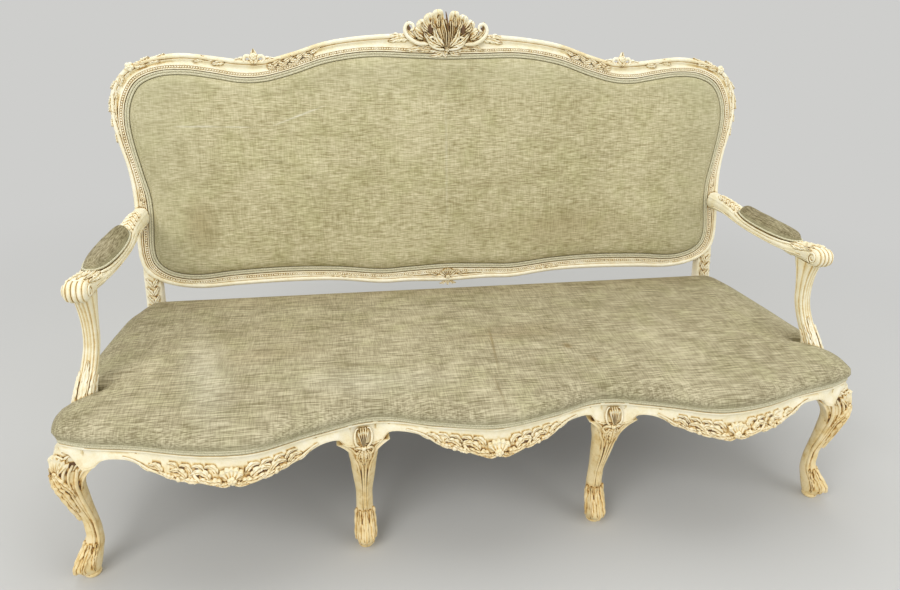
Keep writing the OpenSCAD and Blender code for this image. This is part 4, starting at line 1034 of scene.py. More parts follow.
def rear_leg(name, sign, material):
    """Plain inner rear leg under the rear rail."""
    top, x = RAIL_TOP_H - 60, INNER_X * sign
    shape = Shape()
    table = np.array([(share, mix(POST_Y, REAR_FOOT_Y, splay), REAR_FOOT_W * 1.1 * w) for share, splay, w in
                      ((1, 0, 0.5), (0.8, 0.12, 0.48), (0.55, 0.42, 0.44), (0.27, 0.8, 0.4), (0.04, 1, 0.4),
                       (0, 1, 0.4))])
    rings = []
    for k in range(40, -1, -1):
        share, y, half = open_at(table, k / 8)
        rings.append(soft_square(x, y, half, half, top * max(0.0, share)))
    shape.loft(rings)
    return wooden(name, shape, material)


# Upholstery
SOFT_GAP = 0.3
SEAT_INSET = 4
SEAT_REAR_Y = POST_Y - POST_W / 2 - SOFT_GAP * 4
SEAT_HALF_W = CORNER_BLOCK_X + LEG_BLOCK / 2 - SEAT_INSET
EDGE_R = 6
NOTCH_X = SUPPORT_FOOT[0] - SUPPORT_W * 0.60 - WELT_DIA * 1.5 - SOFT_GAP * 4
NOTCH_HW = SUPPORT_W * 0.68 + WELT_DIA * 1.5 + EDGE_R


def seat_points():
    """Outline of the seat cover, closed, from the front middle round to the right."""
    front = [(q[0] * HALF_SOFA, RAIL_LINE_Y - BELLY_D * q[1] + SEAT_INSET) for q in FRONT_PLAN_SHARES if q[0] < 0.85]
    side = [
        (HALF_SOFA * 0.90, front_line(HALF_SOFA * 0.90) + SEAT_INSET),
        (SEAT_HALF_W - SEAT_INSET * 4, RAIL_LINE_Y + SEAT_INSET),
        (SEAT_HALF_W, RAIL_LINE_Y + BELLY_D * 0.22),
        (SEAT_HALF_W, SUPPORT_FOOT[1] - NOTCH_HW - EDGE_R),
        (NOTCH_X, SUPPORT_FOOT[1] - NOTCH_HW + EDGE_R), (NOTCH_X, SUPPORT_FOOT[1]),
        (NOTCH_X, SUPPORT_FOOT[1] + NOTCH_HW - EDGE_R),
        (side_at(0.2, RAIL_T / 2)[0] - SEAT_INSET, SUPPORT_FOOT[1] + NOTCH_HW + EDGE_R),
        (side_at(0.4, RAIL_T / 2)[0] - SEAT_INSET, side_at(0.4, 0)[1]),
        (side_at(0.65, RAIL_T / 2)[0] - SEAT_INSET, side_at(0.65, 0)[1]),
        (side_at(0.9, RAIL_T / 2)[0] - SEAT_INSET, side_at(0.9, 0)[1]),
        (side_at(0.97, RAIL_T / 2)[0] - RAIL_T / 3, SEAT_REAR_Y - EDGE_R),
        (side_at(1, 0)[0] - RAIL_T / 2, SEAT_REAR_Y),
    ]
    rear = [(side_at(1, 0)[0] * s, SEAT_REAR_Y) for s in (0.8, 0.6, 0.4, 0.2)]
    right = front + side + rear + [(0, SEAT_REAR_Y)]
    return np.array(right + [(-x, y) for x, y in right[-2:0:-1]])


SEAT_LOOP = seat_points()
SEAT_MID_Y = (FRONT_Y + SEAT_REAR_Y) / 2
SEAT_HALF_D = (SEAT_REAR_Y - FRONT_Y) / 2


def dense_loop(points, step):
    """Closed outline redrawn with short even steps: smooth where it bends softly."""
    m, line = len(points), []
    for k in range(m):
        a, b, c, d = (points[(k + j) % m] for j in (-1, 0, 1, 2))
        count = max(2, int(np.linalg.norm(c - b) / step))
        line += [catmull(a, b, c, d, i / count) for i in range(count)]
    return np.array(line)


def outline_normals(line):
    """Outward direction at each point of a closed outline drawn counterclockwise."""
    t = np.roll(line, -1, axis=0) - np.roll(line, 1, axis=0)
    t /= np.linalg.norm(t, axis=1)[:, None]
    n = np.stack([t[:, 1], -t[:, 0]], axis=1)
    area = np.sum(line[:, 0] * np.roll(line[:, 1], -1) - np.roll(line[:, 0], -1) * line[:, 1])
    return n if area > 0 else -n


def crown_at(d, width, half, height):
    u = min(1.0, d / width)
    return height * (0.66 * math.sqrt(max(0.0, 1 - (1 - u) ** 2)) + 0.34 * math.sin(math.pi / 2 * min(1.0, d / half)))


def lumps(x, y, seed):
    """Slow unevenness of a hand-stuffed pad, between -1 and 1."""
    rng = random.Random(seed)
    total = 0.0
    for size in (420, 260, 150, 90):
        a, p = rng.uniform(0, 2 * math.pi), rng.uniform(0, 6)
        b, q = rng.uniform(0, 2 * math.pi), rng.uniform(0, 6)
        total += (math.sin((x * math.cos(a) + y * math.sin(a)) * 2 * math.pi / size + p)
                  * math.sin((x * math.cos(b) + y * math.sin(b)) * 2 * math.pi / size + q)) * size / 420
    return total / 2


def piece_points(piece):
    """The piece's vertices in millimetres."""
    flat = np.empty(len(piece.data.vertices) * 3)
    piece.data.vertices.foreach_get("co", flat)
    return flat.reshape(-1, 3) / MM


def covered_dome(name, slot, material, outline, rows, place, nodes):
    """Stuffed and covered panel: rows drawn in from its outline, each point placed by place()."""
    shape = Shape()
    rings = [[place(index, p, d) for index, p in enumerate(line)] for d, line in ((d, outline(d)) for d in rows)]
    under = [[place(index, p, -1) for index, p in enumerate(outline(6))]]
    shape.loft(under + rings)
    piece = finish_mesh(name, shape, slot, material, VELVET_ANGLE, nodes)
    return piece


SEAT_LINE = dense_loop(SEAT_LOOP, 9)


def seat_inset(d):
    """Seat outline drawn in by d on every side."""
    return np.stack([SEAT_LINE[:, 0] * (1 - d / SEAT_HALF_W),
                     SEAT_MID_Y + (SEAT_LINE[:, 1] - SEAT_MID_Y) * (1 - d / SEAT_HALF_D)], axis=1)


SEAT_OUT = outline_normals(SEAT_LINE)


def seat_place(index, p, d):
    """Point of the seat cover: d is how far it lies in from the edge."""
    if d < 0:
        return np.array([p[0], p[1], RAIL_TOP_H + 4.5])
    full = (1 - (1 - min(1.0, d / SEAT_EDGE_W)) ** 3) ** 0.5
    rise = size_mm("seat_crown") * (0.70 * full + 0.30 * math.sin(math.pi / 2 * min(1.0, d / SEAT_HALF_D)))
    rise += 9 * smooth(40, 200, p[1]) * smooth(0, 25, d)
    swell = size_mm("seat_swell") * (1 + 0.6 * abs(SEAT_OUT[index][0])) * math.exp(-((rise - 26) / 17) ** 2)
    swell *= 1 - smooth(SEAT_REAR_Y - 90, SEAT_REAR_Y - 20, p[1])
    p = p + SEAT_OUT[index] * swell
    loose = smooth(10, 120, d)
    worn = 3.0 * lumps(p[0], p[1], 11) * loose
    hollow = -4.0 * loose * (math.exp(-((abs(p[0]) - 420) / 210) ** 2) * math.exp(-((p[1] + 60) / 150) ** 2))
    return np.array([p[0], p[1], RAIL_TOP_H + SOFT_GAP + rise + worn + hollow])


def seat_piece(material):
    rows = [SEAT_EDGE_W * s for s in (0, 0.01, 0.03, 0.07, 0.12, 0.2, 0.3, 0.42, 0.56, 0.72, 0.88, 1.05, 1.3, 1.6,
                                      1.95, 2.3, 2.7, 3.1, 3.5, 3.9, 4.3, 4.7, 5.05)]
    piece = covered_dome("seat_velvet", "velvet", material, seat_inset, rows, seat_place,
                         ["seat_cover", "seat_stuffing"])
    points = piece_points(piece)
    edge, stain = [], []
    for x, y, z in points:
        low = 1 - smooth(RAIL_TOP_H, RAIL_TOP_H + 34, z)
        back = smooth(SEAT_REAR_Y - 150, SEAT_REAR_Y - 20, y)
        # Painted sheen on the low rim of the seat, where the velvet rolls over towards the cord
        edge.append(0.45 * low)
        spot = math.exp(-(math.hypot(x - 262, y + 235) / 8) ** 2)
        # Darker towards the rear edge of the seat, by the back, and in a soft patch on the left
        patch = 0.30 * back + 0.12 * math.exp(-((x + 420) / 260) ** 2 - ((y + 20) / 90) ** 2)
        stain.append(min(1.0, 0.9 * spot + patch))
    set_marks(piece, "edge", edge)
    set_marks(piece, "stain", stain)
    return piece


PANEL_MID = BACK_RISE * 0.49
PANEL_LINE = np.array([closed_at(BACK_LOOP, k / 9)[:2] for k in range(LOOP_LEN * 9)])


def panel_inset(d):
    """Edge of the covered back panel, drawn in by d."""
    return np.stack([PANEL_LINE[:, 0] * (1 - d / HALF_BACK),
                     PANEL_MID + (PANEL_LINE[:, 1] - PANEL_MID) * (1 - d / (BACK_RISE * 0.41))], axis=1)


BACK_HALF = BACK_RISE * 0.41


def panel_place(index, p, d):
    if d < 0:
        return on_back(p[0], p[1], -1.6)
    rise = crown_at(d, 26, BACK_HALF, size_mm("back_crown"))
    worn = 1.8 * lumps(p[0], p[1], 23) * smooth(8, 90, d)
    return on_back(p[0], p[1], -2 + 0.4 + rise + worn)


def back_piece(material):
    rows = [26 * s for s in (0, 0.03, 0.08, 0.16, 0.26, 0.4, 0.56, 0.74, 0.92, 1.15, 1.5, 2, 2.6, 3.3, 4.1, 5, 6, 7,
                             8, 9, 9.9)]
    piece = covered_dome("back_velvet", "velvet", material, panel_inset, rows, panel_place,
                         ["back_cover", "back_stuffing"])
    points = piece_points(piece)
    edge, stain = [], []
    for x, _, z in points:
        v = (z - BACK_FOOT_H) / math.cos(BACK_TILT) / BACK_RISE
        # Painted sheen, paler towards the sides and the top of the panel
        side = smooth(560, 770, abs(x))
        edge.append(0.30 * side + 0.25 * smooth(0.72, 0.86, v))
        patch = 0.14 * math.exp(-((x - 330) / 240) ** 2 - ((v - 0.16) / 0.03) ** 2)
        spot = 0.5 * math.exp(-((x - 100) / 9) ** 2 - ((v - 0.79) / 0.010) ** 2)
        stain.append(min(1.0, patch + spot))
    set_marks(piece, "edge", edge)
    set_marks(piece, "stain", stain)
    return piece


def cord_pair(shape, path, ups, outs, spots, closed, share=1):
    """Cords side by side along a path: spots are (out, up) of each cord's middle."""
    m, radius = len(path), size_mm("cord_width") / 2 * share
    for out, up in spots:
        rings = []
        for k in range(m):
            c = path[k] + outs[k] * out + ups[k] * up
            rings.append([c + (outs[k] * math.cos(a) + ups[k] * math.sin(a)) * radius
                          for a in even_angles(10)])
        # Painted shade: each cord darkens along its sides and underneath, and so in the groove between the two cords
        marks = [[0.36 * smooth(0.2, 0.9, abs(math.cos(a)) if math.sin(a) < 0.35 else 0)
                  for a in even_angles(10)]] * m
        shape.loft(rings, marks, closed)


def seat_welt(material):
    """Double cord round the front and the sides of the seat, along the edge of the cover."""
    normals = outline_normals(SEAT_LINE)
    count, inside = len(SEAT_LINE), [p[1] < SEAT_REAR_Y - EDGE_R * 1.5 for p in SEAT_LINE]
    start = next(k for k in range(count) if inside[k] and not inside[k - 1])
    order = [(start + k) % count for k in range(count) if inside[(start + k) % count]]
    path = [np.array([SEAT_LINE[k][0], SEAT_LINE[k][1], RAIL_TOP_H + 0.5]) for k in order]
    outs = [np.array([normals[k][0], normals[k][1], 0]) for k in order]
    ups = [np.array([0, 0, 1.0])] * len(order)
    shape = Shape()
    cord_pair(shape, path, ups, outs, [(3.2, 2.9), (2.6, 8.4)], False)
    return finish_mesh("seat_double_cord", shape, "welt", material, CORD_ANGLE, ["seat_welt"])


def back_welt(material):
    """Double cord round the covered panel of the back."""
    normals = outline_normals(PANEL_LINE)
    up = BACK_NORMAL
    path, outs = [], []
    for k, p in enumerate(PANEL_LINE):
        path.append(on_back(p[0], p[1], -2))
        outs.append(on_back(p[0] + normals[k][0], p[1] + normals[k][1], -2) - on_back(p[0], p[1], -2))
    shape = Shape()
    cord_pair(shape, path, [up] * len(path), outs, [(3.6, 2.9), (9.6, 2.9)], True)
    return finish_mesh("back_double_cord", shape, "welt", material, CORD_ANGLE, ["back_welt"])


def arm_top_share(t):
    table = np.stack([ARM_TABLE[:, 0], ARM_TABLE[:, 2] + ARM_TABLE[:, 3]], axis=1)
    return share_at(table, t)


PAD_SIDES = 72


def pad_line(d):
    """Outline of the arm pad on the arm's top, drawn in by d."""
    line = []
    for k in range(PAD_SIDES):
        a = k * 2 * math.pi / PAD_SIDES
        t = PAD_MID + math.sin(a) * (ARM_PAD_L / 2 - d) / ARM_LEN
        c = arm_mid(t, arm_top_share(t))
        ca = math.cos(a)
        line.append(c + np.array([(ARM_W * PAD_WIDTH - d) * signed_power(ca, 0.7), 0, 0]))
    return line


def arm_pad(name, sign, material, nodes):
    half, crown = ARM_W * PAD_WIDTH, size_mm("pad_crown")
    shape = Shape()
    rings = [[p + np.array([0, 0, SOFT_GAP]) for p in pad_line(5)]]
    for s in (0, 0.03, 0.1, 0.2, 0.34, 0.5, 0.66, 0.82, 0.94):
        d = s * half
        rise = crown * math.sqrt(max(0.0, 1 - (1 - s) ** 2.6))
        rings.append([p + np.array([0, 0, SOFT_GAP + rise + (0.6 * lumps(p[0] * 4, p[1] * 4, 5) if s > 0.2 else 0)])
                      for p in pad_line(d)])
    shape.loft(rings)
    piece = finish_mesh(name, shape, "pad_velvet", material, VELVET_ANGLE, nodes, sign)
    low = min(p[2] for p in shape.verts)
    # Painted sheen round the foot of the pad, where the velvet turns down to the cord
    set_marks(piece, "edge", [0.55 * (1 - smooth(low + 4, low + 16, p[2])) for p in piece_points(piece)])
    set_marks(piece, "stain", [0.0] * len(piece.data.vertices))
    return piece


def pad_cord(name, sign, material, node):
    line = np.array(pad_line(0))
    flat = outline_normals(line[:, :2])
    outs = [np.array([n[0], n[1], 0]) for n in flat]
    shape = Shape()
    cord_pair(shape, list(line), [np.array([0, 0, 1.0])] * len(line), outs, [(2.2, 2.2)], True, 0.83)
    return finish_mesh(name, shape, "welt", material, CORD_ANGLE, [node], sign)


def outer_back(material):
    """Cloth stretched over the rear of the back panel, slightly drawn in at its tacks."""
    shape = Shape()
    rows = [(-20, 0.2), (-20, 1.6), (-8, 1.7), (0, 1.4), (20, 1.1), (60, 0.9), (120, 0.8), (200, 0.8), (255, 0.8)]
    shape.loft([[on_back(p[0], p[1], -FRAME_T - w) for p in panel_inset(d)] for d, w in rows])
    piece = finish_mesh("outer_back_cloth", shape, "velvet", material, CLOTH_ANGLE, ["back_outer_cover"])
    set_marks(piece, "edge", [0.2] * len(piece.data.vertices))
    set_marks(piece, "stain", [0.15] * len(piece.data.vertices))
    return piece


LINING_T, CROSS_DROP = 1.2, 16


def bottom_lining(material):
    """Lining tacked under the seat, with its edge turned in; it hangs a little between the rails."""
    z = RAIL_TOP_H - CROSS_DROP - RAIL_D - LINING_T
    wide = [side_at(s, -RAIL_T / 2)[0] - SOFT_GAP for s in (0, 1)]
    y0, y1 = BLOCK_REAR_Y + SOFT_GAP, POST_Y - RAIL_T / 2 - SOFT_GAP
    shape, rings = Shape(), []
    for s in np.linspace(0, 1, 41):
        y, half = mix(y0, y1, s), mix(*wide, s)
        under, over = [], []
        for t in np.linspace(-1, 1, 121):
            x, near = half * t, min((1 - abs(t)) * half, (y - y0), (y1 - y))
            tack = 0.9 * math.sin(math.pi * (x if near == y - y0 or near == y1 - y else y) / 45) ** 2
            hang = 4.5 * smooth(6, 130, near) + 0.8 * lumps(x, y, 31) * smooth(6, 60, near)
            hang += tack * smooth(0, 6, near) * (1 - smooth(6, 40, near))
            hem = 0.7 * (1 - smooth(12, 14, near))
            under.append(np.array([x, y, z - hang - hem]))
            over.append(np.array([x, y, z - hang + LINING_T]))
        rings.append(under + over[::-1])
    shape.loft(rings)
    piece = finish_mesh("seat_bottom_lining", shape, "lining", material, LINING_ANGLE, ["seat_bottom_cloth"])
    return piece


def leaf(shape, spine, ups, width, rise, lobes=4, sink=2.5, curl=0.0):
    """Carved leaf: scalloped edges, a sunk middle vein and flutes running out to the lobes."""
    rows, cols = lobes * 6, 13
    rise = rise * bpy.context.scene.sofa_sizes.carving
    last = len(spine) - 1
    rings = []
    for i in range(rows + 1):
        t = i / rows
        c, up = open_at(spine, t * last), unit(open_at(ups, t * last))
        along = unit(open_at(spine, min(1, t + 0.02) * last) - open_at(spine, max(0, t - 0.02) * last))
        side = unit(np.cross(along, up))
        body = width * min(1.0, 0.30 + 2.6 * t) * max(0.03, 1 - t) ** 0.55 * 1.25
        tooth = 0.60 + 0.40 * abs(math.sin(math.pi * (lobes * t + 0.15))) ** 0.6
        half = body / 2 * tooth
        c = c + up * curl * t * t
        ring = []
        for j in range(cols):
            q = -1 + 2 * j / (cols - 1)
            dome = math.sqrt(max(0.0, 1 - q * q)) * 0.55 + 0.20
            flute = 0.24 * math.cos(2 * math.pi * (lobes * t - 1.1 * abs(q)))
            vein = 0.55 * math.exp(-(q / 0.16) ** 2)
            h = rise * (1 - 0.45 * t) * (dome + flute * min(1.0, 2.2 * abs(q)) - vein) if abs(q) < 1 else -0.3
            ring.append(c + side * half * q + up * h)
        ring.append(c + side * half * 0.7 - up * sink)
        ring.append(c - side * half * 0.7 - up * sink)
        rings.append(ring)
    shape.loft(rings)


def leaf_on(shape, place, path, width, rise, lobes=4, sink=2.5, curl=0.0):
    """A leaf laid on a surface along a path of its own two coordinates."""
    path = np.array(path, dtype=float)
    spine, ups = [], []
    for k in range(7):
        p = open_at(path, k * (len(path) - 1) / 6)
        here = place(p[0], p[1], 0)
        spine.append(here)
        ups.append(place(p[0], p[1], 1) - here)
    leaf(shape, np.array(spine), np.array(ups), width, rise, lobes, sink, curl)


def stem(shape, points, ups, start, end, sides=10, flat=0.8):
    """Rounded moulding of tapering width along a path."""
    points, ups = np.array(points), np.array(ups)
    last = len(points) - 1
    count = max(12, last * 5)
    rings = []
    for i in range(count + 1):
        t = i / count
        c, up = open_at(points, t * last), unit(open_at(ups, t * last))
        along = unit(open_at(points, min(1, t + 0.02) * last) - open_at(points, max(0, t - 0.02) * last))
        side = unit(np.cross(along, up))
        r = mix(start, end, t) * math.sin(math.pi * min(1, max(0.06, (t + 0.04) * 6, ) if t < 0.1 else 1)
                                          / 2) * (1 if t < 0.95 else math.sqrt(max(0.05, (1 - t) / 0.05)))
        rings.append([c + side * r * math.cos(a) + up * r * flat * math.sin(a)
                      for a in even_angles(sides)])
    shape.loft(rings)


def stem_on(shape, place, path, start, end, rise=0.0):
    path = np.array(path, dtype=float)
    points, ups = [], []
    count = len(path) * 2
    for k in range(count + 1):
        p = open_at(path, k * (len(path) - 1) / count)
        here = place(p[0], p[1], rise)
        points.append(here)
        ups.append(place(p[0], p[1], rise + 1) - here)
    stem(shape, points, ups, start, end)


def boss(shape, centre, up, along, radius, height, petals=0, sides=20, stretch=1.0):
    """Rounded boss or small flower standing on a surface."""
    side = unit(np.cross(up, along))
    along = unit(np.cross(side, up))
    rings = []
    for r, h in ((1.0, -0.25), (1.02, 0.15), (0.92, 0.55), (0.72, 0.82), (0.5, 0.9), (0.3, 0.72 if petals else 0.97),
                 (0.2, 0.95 if petals else 1.0), (0.06, 1.05 if petals else 1.0)):
        ring = []
        for j in range(sides):
            a = j * 2 * math.pi / sides
            lobe = 1 if not petals or r < 0.35 else 0.80 + 0.20 * abs(math.cos(a * petals / 2)) ** 0.5
            dip = 1 if not petals or r < 0.35 else 0.75 + 0.25 * abs(math.cos(a * petals / 2)) ** 0.5
            ring.append(centre + (along * math.cos(a) * stretch + side * math.sin(a)) * radius * r * lobe
                        + up * height * h * dip)
        rings.append(ring)
    shape.loft(rings)


def boss_on(shape, place, p, q, radius, height, petals=0, stretch=1.0, turn=(1, 0)):
    here = place(p, q, 0)
    boss(shape, here, unit(place(p, q, 1) - here),
         unit(place(p + turn[0] * 0.01, q + turn[1] * 0.01, 0) - here), radius, height, petals, 20, stretch)


def fan(shape, place, p, q, radius, ribs, spread, rise, lean=0.0, stretch=1.0, cup=0.35):
    """Scallop shell: ribs spread from its foot at (p, q), the rim rolls forward."""
    cols, rows = ribs * 8, 11
    top, under = [], []
    for i in range(rows + 1):
        r = 0.06 + 0.94 * i / rows
        row = []
        for j in range(cols + 1):
            share = j / cols
            a = lean + (share - 0.5) * spread
            wave = math.cos(2 * math.pi * ribs * (share - 0.5 / ribs))
            rim = radius * (0.93 + 0.07 * wave * (r > 0.6)) * (1 - 0.10 * abs(math.sin(a - lean)))
            x, y = math.sin(a) * rim * r * stretch, math.cos(a) * rim * r
            roll = math.exp(-((r - 0.93) / 0.10) ** 2) * 0.45
            h = rise * (cup + (1 - cup) * r * r * 0.75 + roll + 0.26 * wave * min(1, r * 1.8))
            if i == rows:
                h = rise * 0.35
            row.append(place(p + x, q + y, h))
        top.append(row)
        under.append([place(p + math.sin(lean + (j / cols - 0.5) * spread) * radius * 0.9 * r * stretch,
                            q + math.cos(lean + (j / cols - 0.5) * spread) * radius * 0.9 * r, -2.5)
                      for j in range(cols + 1)])
    shape.loft([t + u[::-1] for t, u in zip(top, under)])


def crest_place(p, q, rise):
    """Flat coordinates on the face of the crest: p across and q up from its top middle."""
    return on_back(p, BACK_RISE + q, rise)


def frame_spray(shape, start, end, across, count, length, width, rise=6.5, flip=1):
    """Leaves that overlap along the outer roll of the back frame, from a root to a tip."""
    for k in range(count):
        s = mix(start, end, k / count)
        step = (end - start) / abs(end - start) * length
        wide = 0.07 * (1 if k % 2 else -1) * flip
        size = mix(1, 0.62, k / max(1, count - 1))
        leaf_on(shape, on_frame_face, [(s, across), (s + step * 0.5, across + wide),
                                       (s + step, across + wide * 2.4)], width * size, rise * size, 4, 3, 1.5)


def on_frame_face(s, across, rise):
    """Point over the moulded face: height is measured from the top of the outer roll."""
    return on_frame(s, across, rise + 2.0)


def knob(shape, s):
    """Bud on the outer edge of the crest between two small scrolls."""
    leaf_on(shape, on_frame_face, [(s, 0.80), (s, 1.06), (s, 1.48)], 26, 9, 3, 6, 2)
    boss_on(shape, on_frame_face, s, 1.14, 11, 9, 7)
    for turn in (1, -1):
        stem_on(shape, on_frame_face, [(s + turn * 0.03, 0.80), (s + turn * 0.16, 1.10), (s + turn * 0.34, 1.14),
                                       (s + turn * 0.42, 0.98), (s + turn * 0.32, 0.88), (s + turn * 0.26, 0.98)],
                5.2, 3, 2)
        leaf_on(shape, on_frame_face, [(s + turn * 0.36, 0.92), (s + turn * 0.56, 1.0), (s + turn * 0.84, 0.90)],
                15, 6, 3, 3, 1)


def carve_crest(shape):
    for side in (1, -1):
        mirror = (lambda s: s) if side == 1 else (lambda s: LOOP_LEN - s)
        frame_spray(shape, mirror(21.15), mirror(22.75), 0.66, 8, 0.30, 17, 7)
        frame_spray(shape, mirror(21.25), mirror(22.5), 0.52, 6, 0.28, 12, 6, -1)
        frame_spray(shape, mirror(19.5), mirror(18.5), 0.80, 3, 0.42, 15, 6)
        frame_spray(shape, mirror(16.35), mirror(17.4), 0.86, 4, 0.40, 19, 7)
        knob(shape, mirror(20.62))
        boss_on(shape, on_frame_face, mirror(16.2), 0.92, 12, 9, 5)
    cartouche(shape)


def hollow(shape, place, p, q, wide, high):
    """Flat patch between the scrolls, marked at full depth: dark with old glaze, and painted shade in place of a deep
    cut.
    """
    rings = []
    for r, rise in ((1.0, -1.5), (0.95, 0.4), (0.6, 0.5), (0.2, 0.5)):
        rings.append([place(p + wide * r * math.cos(a), q + high * r * math.sin(a), rise)
                      for a in even_angles(20)])
    shape.loft(rings, [[1.0] * 20] * 4)


# Leaves along the rail under the cartouche: root, middle and tip across and up, width, height, lobes, roll
ROCAILLE = [
    (-98, -12, -122, -15, -150, -22, 21, 7, 4, 1), (98, -12, 122, -16, 150, -24, 21, 7, 4, 1),
    (-120, -12, -134, -6, -150, -10, 14, 6, 3, 1), (118, -12, 134, -6, 150, -11, 14, 6, 3, 1),
    (-4, -46, -40, -40, -72, -46, 22, 8, 5, 2), (-40, -42, -72, -38, -108, -46, 18, 7, 5, 2),
    (6, -46, 38, -38, 70, -42, 22, 8, 5, 2), (40, -40, 70, -34, 102, -42, 17, 7, 5, 2),
    (-20, -30, -60, -27, -92, -16, 22, 9, 5, 3), (20, -30, 58, -26, 90, -14, 22, 9, 5, 3),
    (-10, -40, -20, -54, -44, -57, 17, 7, 3, 1), (10, -40, 20, -52, 40, -54, 15, 7, 3, 1),
]
# Rolled lobes: root, middle and tip across and up, width at the root and the tip, height, roll
LOBES = [
    (-20, -24, -56, -10, -86, 8, 12, 24, 6, 6), (20, -24, 54, -11, 84, 9, 12, 23, 6, 6),
    (-14, -20, -50, 4, -74, 28, 12, 29, 8, 9), (16, -20, 48, 2, 70, 30, 12, 27, 8, 9),
    (-12, -20, -34, 16, -52, 45, 12, 31, 9, 9), (14, -20, 34, 14, 50, 43, 12, 28, 9, 9),
    (-6, -24, -18, 18, -24, 57, 12, 31, 10, 9), (8, -24, 18, 16, 22, 54, 12, 27, 10, 9),
    (0, -38, 2, -2, -9, 33, 12, 20, 15, 6), (6, -38, 12, -2, 11, 28, 11, 18, 15, 5),
]


def lobe_on(shape, place, path, start, end, rise, roll):
    """Rolled lobe: a strip with three flutes that widens to a round tip curled forward."""
    path = np.array(path, dtype=float)
    last, rings, marks = len(path) - 1, [], []
    for i in range(25):
        t = i / 24
        c = open_at(path, t * last)
        ahead = unit(open_at(path, min(1, t + 0.02) * last) - open_at(path, max(0, t - 0.02) * last))
        side = np.array([ahead[1], -ahead[0]])
        half = mix(start, end, smooth(0, 0.75, t)) / 2 * math.sqrt(max(0.02, 1 - max(0, (t - 0.74) / 0.26) ** 2))
        lift = roll * math.exp(-((t - 0.86) / 0.12) ** 2)
        ring, mark = [], []
        for j in range(19):
            q = -1 + j / 9
            rib = math.cos(3 * math.pi * (q + 1))
            high = (rise * (0.62 + 0.38 * q * q + 0.20 * rib) + lift * (1 - 0.4 * q * q)) * (1 - q ** 8) ** 0.5
            spot = c + side * half * q
            ring.append(place(spot[0], spot[1], high if abs(q) < 1 and i < 24 else 0.5))
            mark.append(0.30 * (0.5 - 0.5 * rib) - 0.25 * smooth(0.3, 1, lift / roll))
        for q in (0.6, -0.6):
            spot = c + side * half * q
            ring.append(place(spot[0], spot[1], -6))
            mark.append(0)
        rings.append(ring)
        marks.append(mark)
    shape.loft(rings, marks)


def cartouche(shape):
    """Rocaille cartouche on the middle of the crest: rolled lobes that step down on both sides of a slit, with
    hollows between them. The slit and the hollows are flat patches, dark with glaze and with painted shade in place
    of deep cuts. A curl at each end and leaves along the rail."""
    def place(p, q, rise):
        return crest_place(p, q, rise + 3 + 6 * smooth(-40, 10, q) * (1 - smooth(60, 110, abs(p))))
    for x0, y0, x1, y1, x2, y2, width, rise, lobes, roll in ROCAILLE:
        leaf_on(shape, place, [(x0, y0), (x1, y1), (x2, y2)], width, rise, lobes, 8, roll)
    for x0, y0, x1, y1, x2, y2, start, end, rise, roll in LOBES:
        lobe_on(shape, place, [(x0, y0), (x1, y1), (x2, y2)], start, end, rise, roll)
    for p, q, wide, high in ((-43, 8, 6, 12), (44, 7, 6, 12), (-57, -3, 5, 5), (57, -3, 5, 5), (-97, 10, 4, 5),
                             (96, 10, 4, 5)):
        # Hollows in the lobes, between the leaves laid over them: flat patches, dark with glaze and with painted
        # shade
        hollow(shape, lambda p, q, h: place(p, q, h + 10 - abs(p) * 0.05), p, q, wide, high)
    for side in (1, -1):
        for x0, y0, x1, y1, x2, y2, width in ((8, -34, 26, -14, 33, 12, 19), (14, -34, 42, -22, 60, -2, 18),
                                              (30, 8, 38, 20, 37, 32, 12), (50, 2, 62, 10, 64, 22, 12),
                                              (62, -16, 76, -8, 84, 4, 14), (22, 12, 22, 28, 18, 42, 11)):
            leaf_on(shape, lambda p, q, h: place(p, q, h + 7), [(x0 * side, y0), (x1 * side, y1), (x2 * side, y2)],
                    width, 9, 4, 8, 4)
    for side in (1, -1):
        stem_on(shape, place, [(46 * side, -28), (76 * side, -26), (100 * side, -12), (109 * side, 6),
                               (102 * side, 21), (89 * side, 19), (87 * side, 8), (95 * side, 4)], 6, 3, 7)
        stem_on(shape, place, [(6 * side, -42), (30 * side, -38), (46 * side, -26), (44 * side, -14),
                               (34 * side, -12), (31 * side, -20)], 4, 2.4, 9)
        leaf_on(shape, place, [(80 * side, -14), (99 * side, 2), (101 * side, 28)], 17, 7, 3, 6, 3)
    hollow(shape, lambda p, q, h: place(p - (q - 22) * 0.16, q, h + 17), 1, 26, 2.2, 25)
    boss_on(shape, place, 3, -40, 8, 12, 5)
    leaf_on(shape, place, [(2, -42), (-4, -52), (2, -60)], 18, 7, 4, 3, 1)


def carve_stile(shape):
    frame_spray(shape, 15.75, 14.2, 0.86, 5, 0.42, 19, 7)
    frame_spray(shape, 14.5, 12.6, 0.88, 6, 0.42, 15, 6, -1)
    frame_spray(shape, 11.2, 9.6, 0.55, 4, 0.5, 9, 4)
    for k in range(4):
        z = mix(RAIL_TOP_H + 6, BACK_FOOT_H + 24, k / 3)
        y = BACK_Y + share_at(np.array([[p[0], p[1]] for p in POST_PLACES[::-1]]), z)
        front = POST_W * 0.42
        for side in (1, -1):
            spine = np.array([[POST_X, y - front, z], [POST_X + side * 8, y - front - 1, z + 12],
                              [POST_X + side * 15, y - front, z + 24]])
            leaf(shape, spine, np.array([[0, -1.0, 0]] * 3), 13, 5, 3)


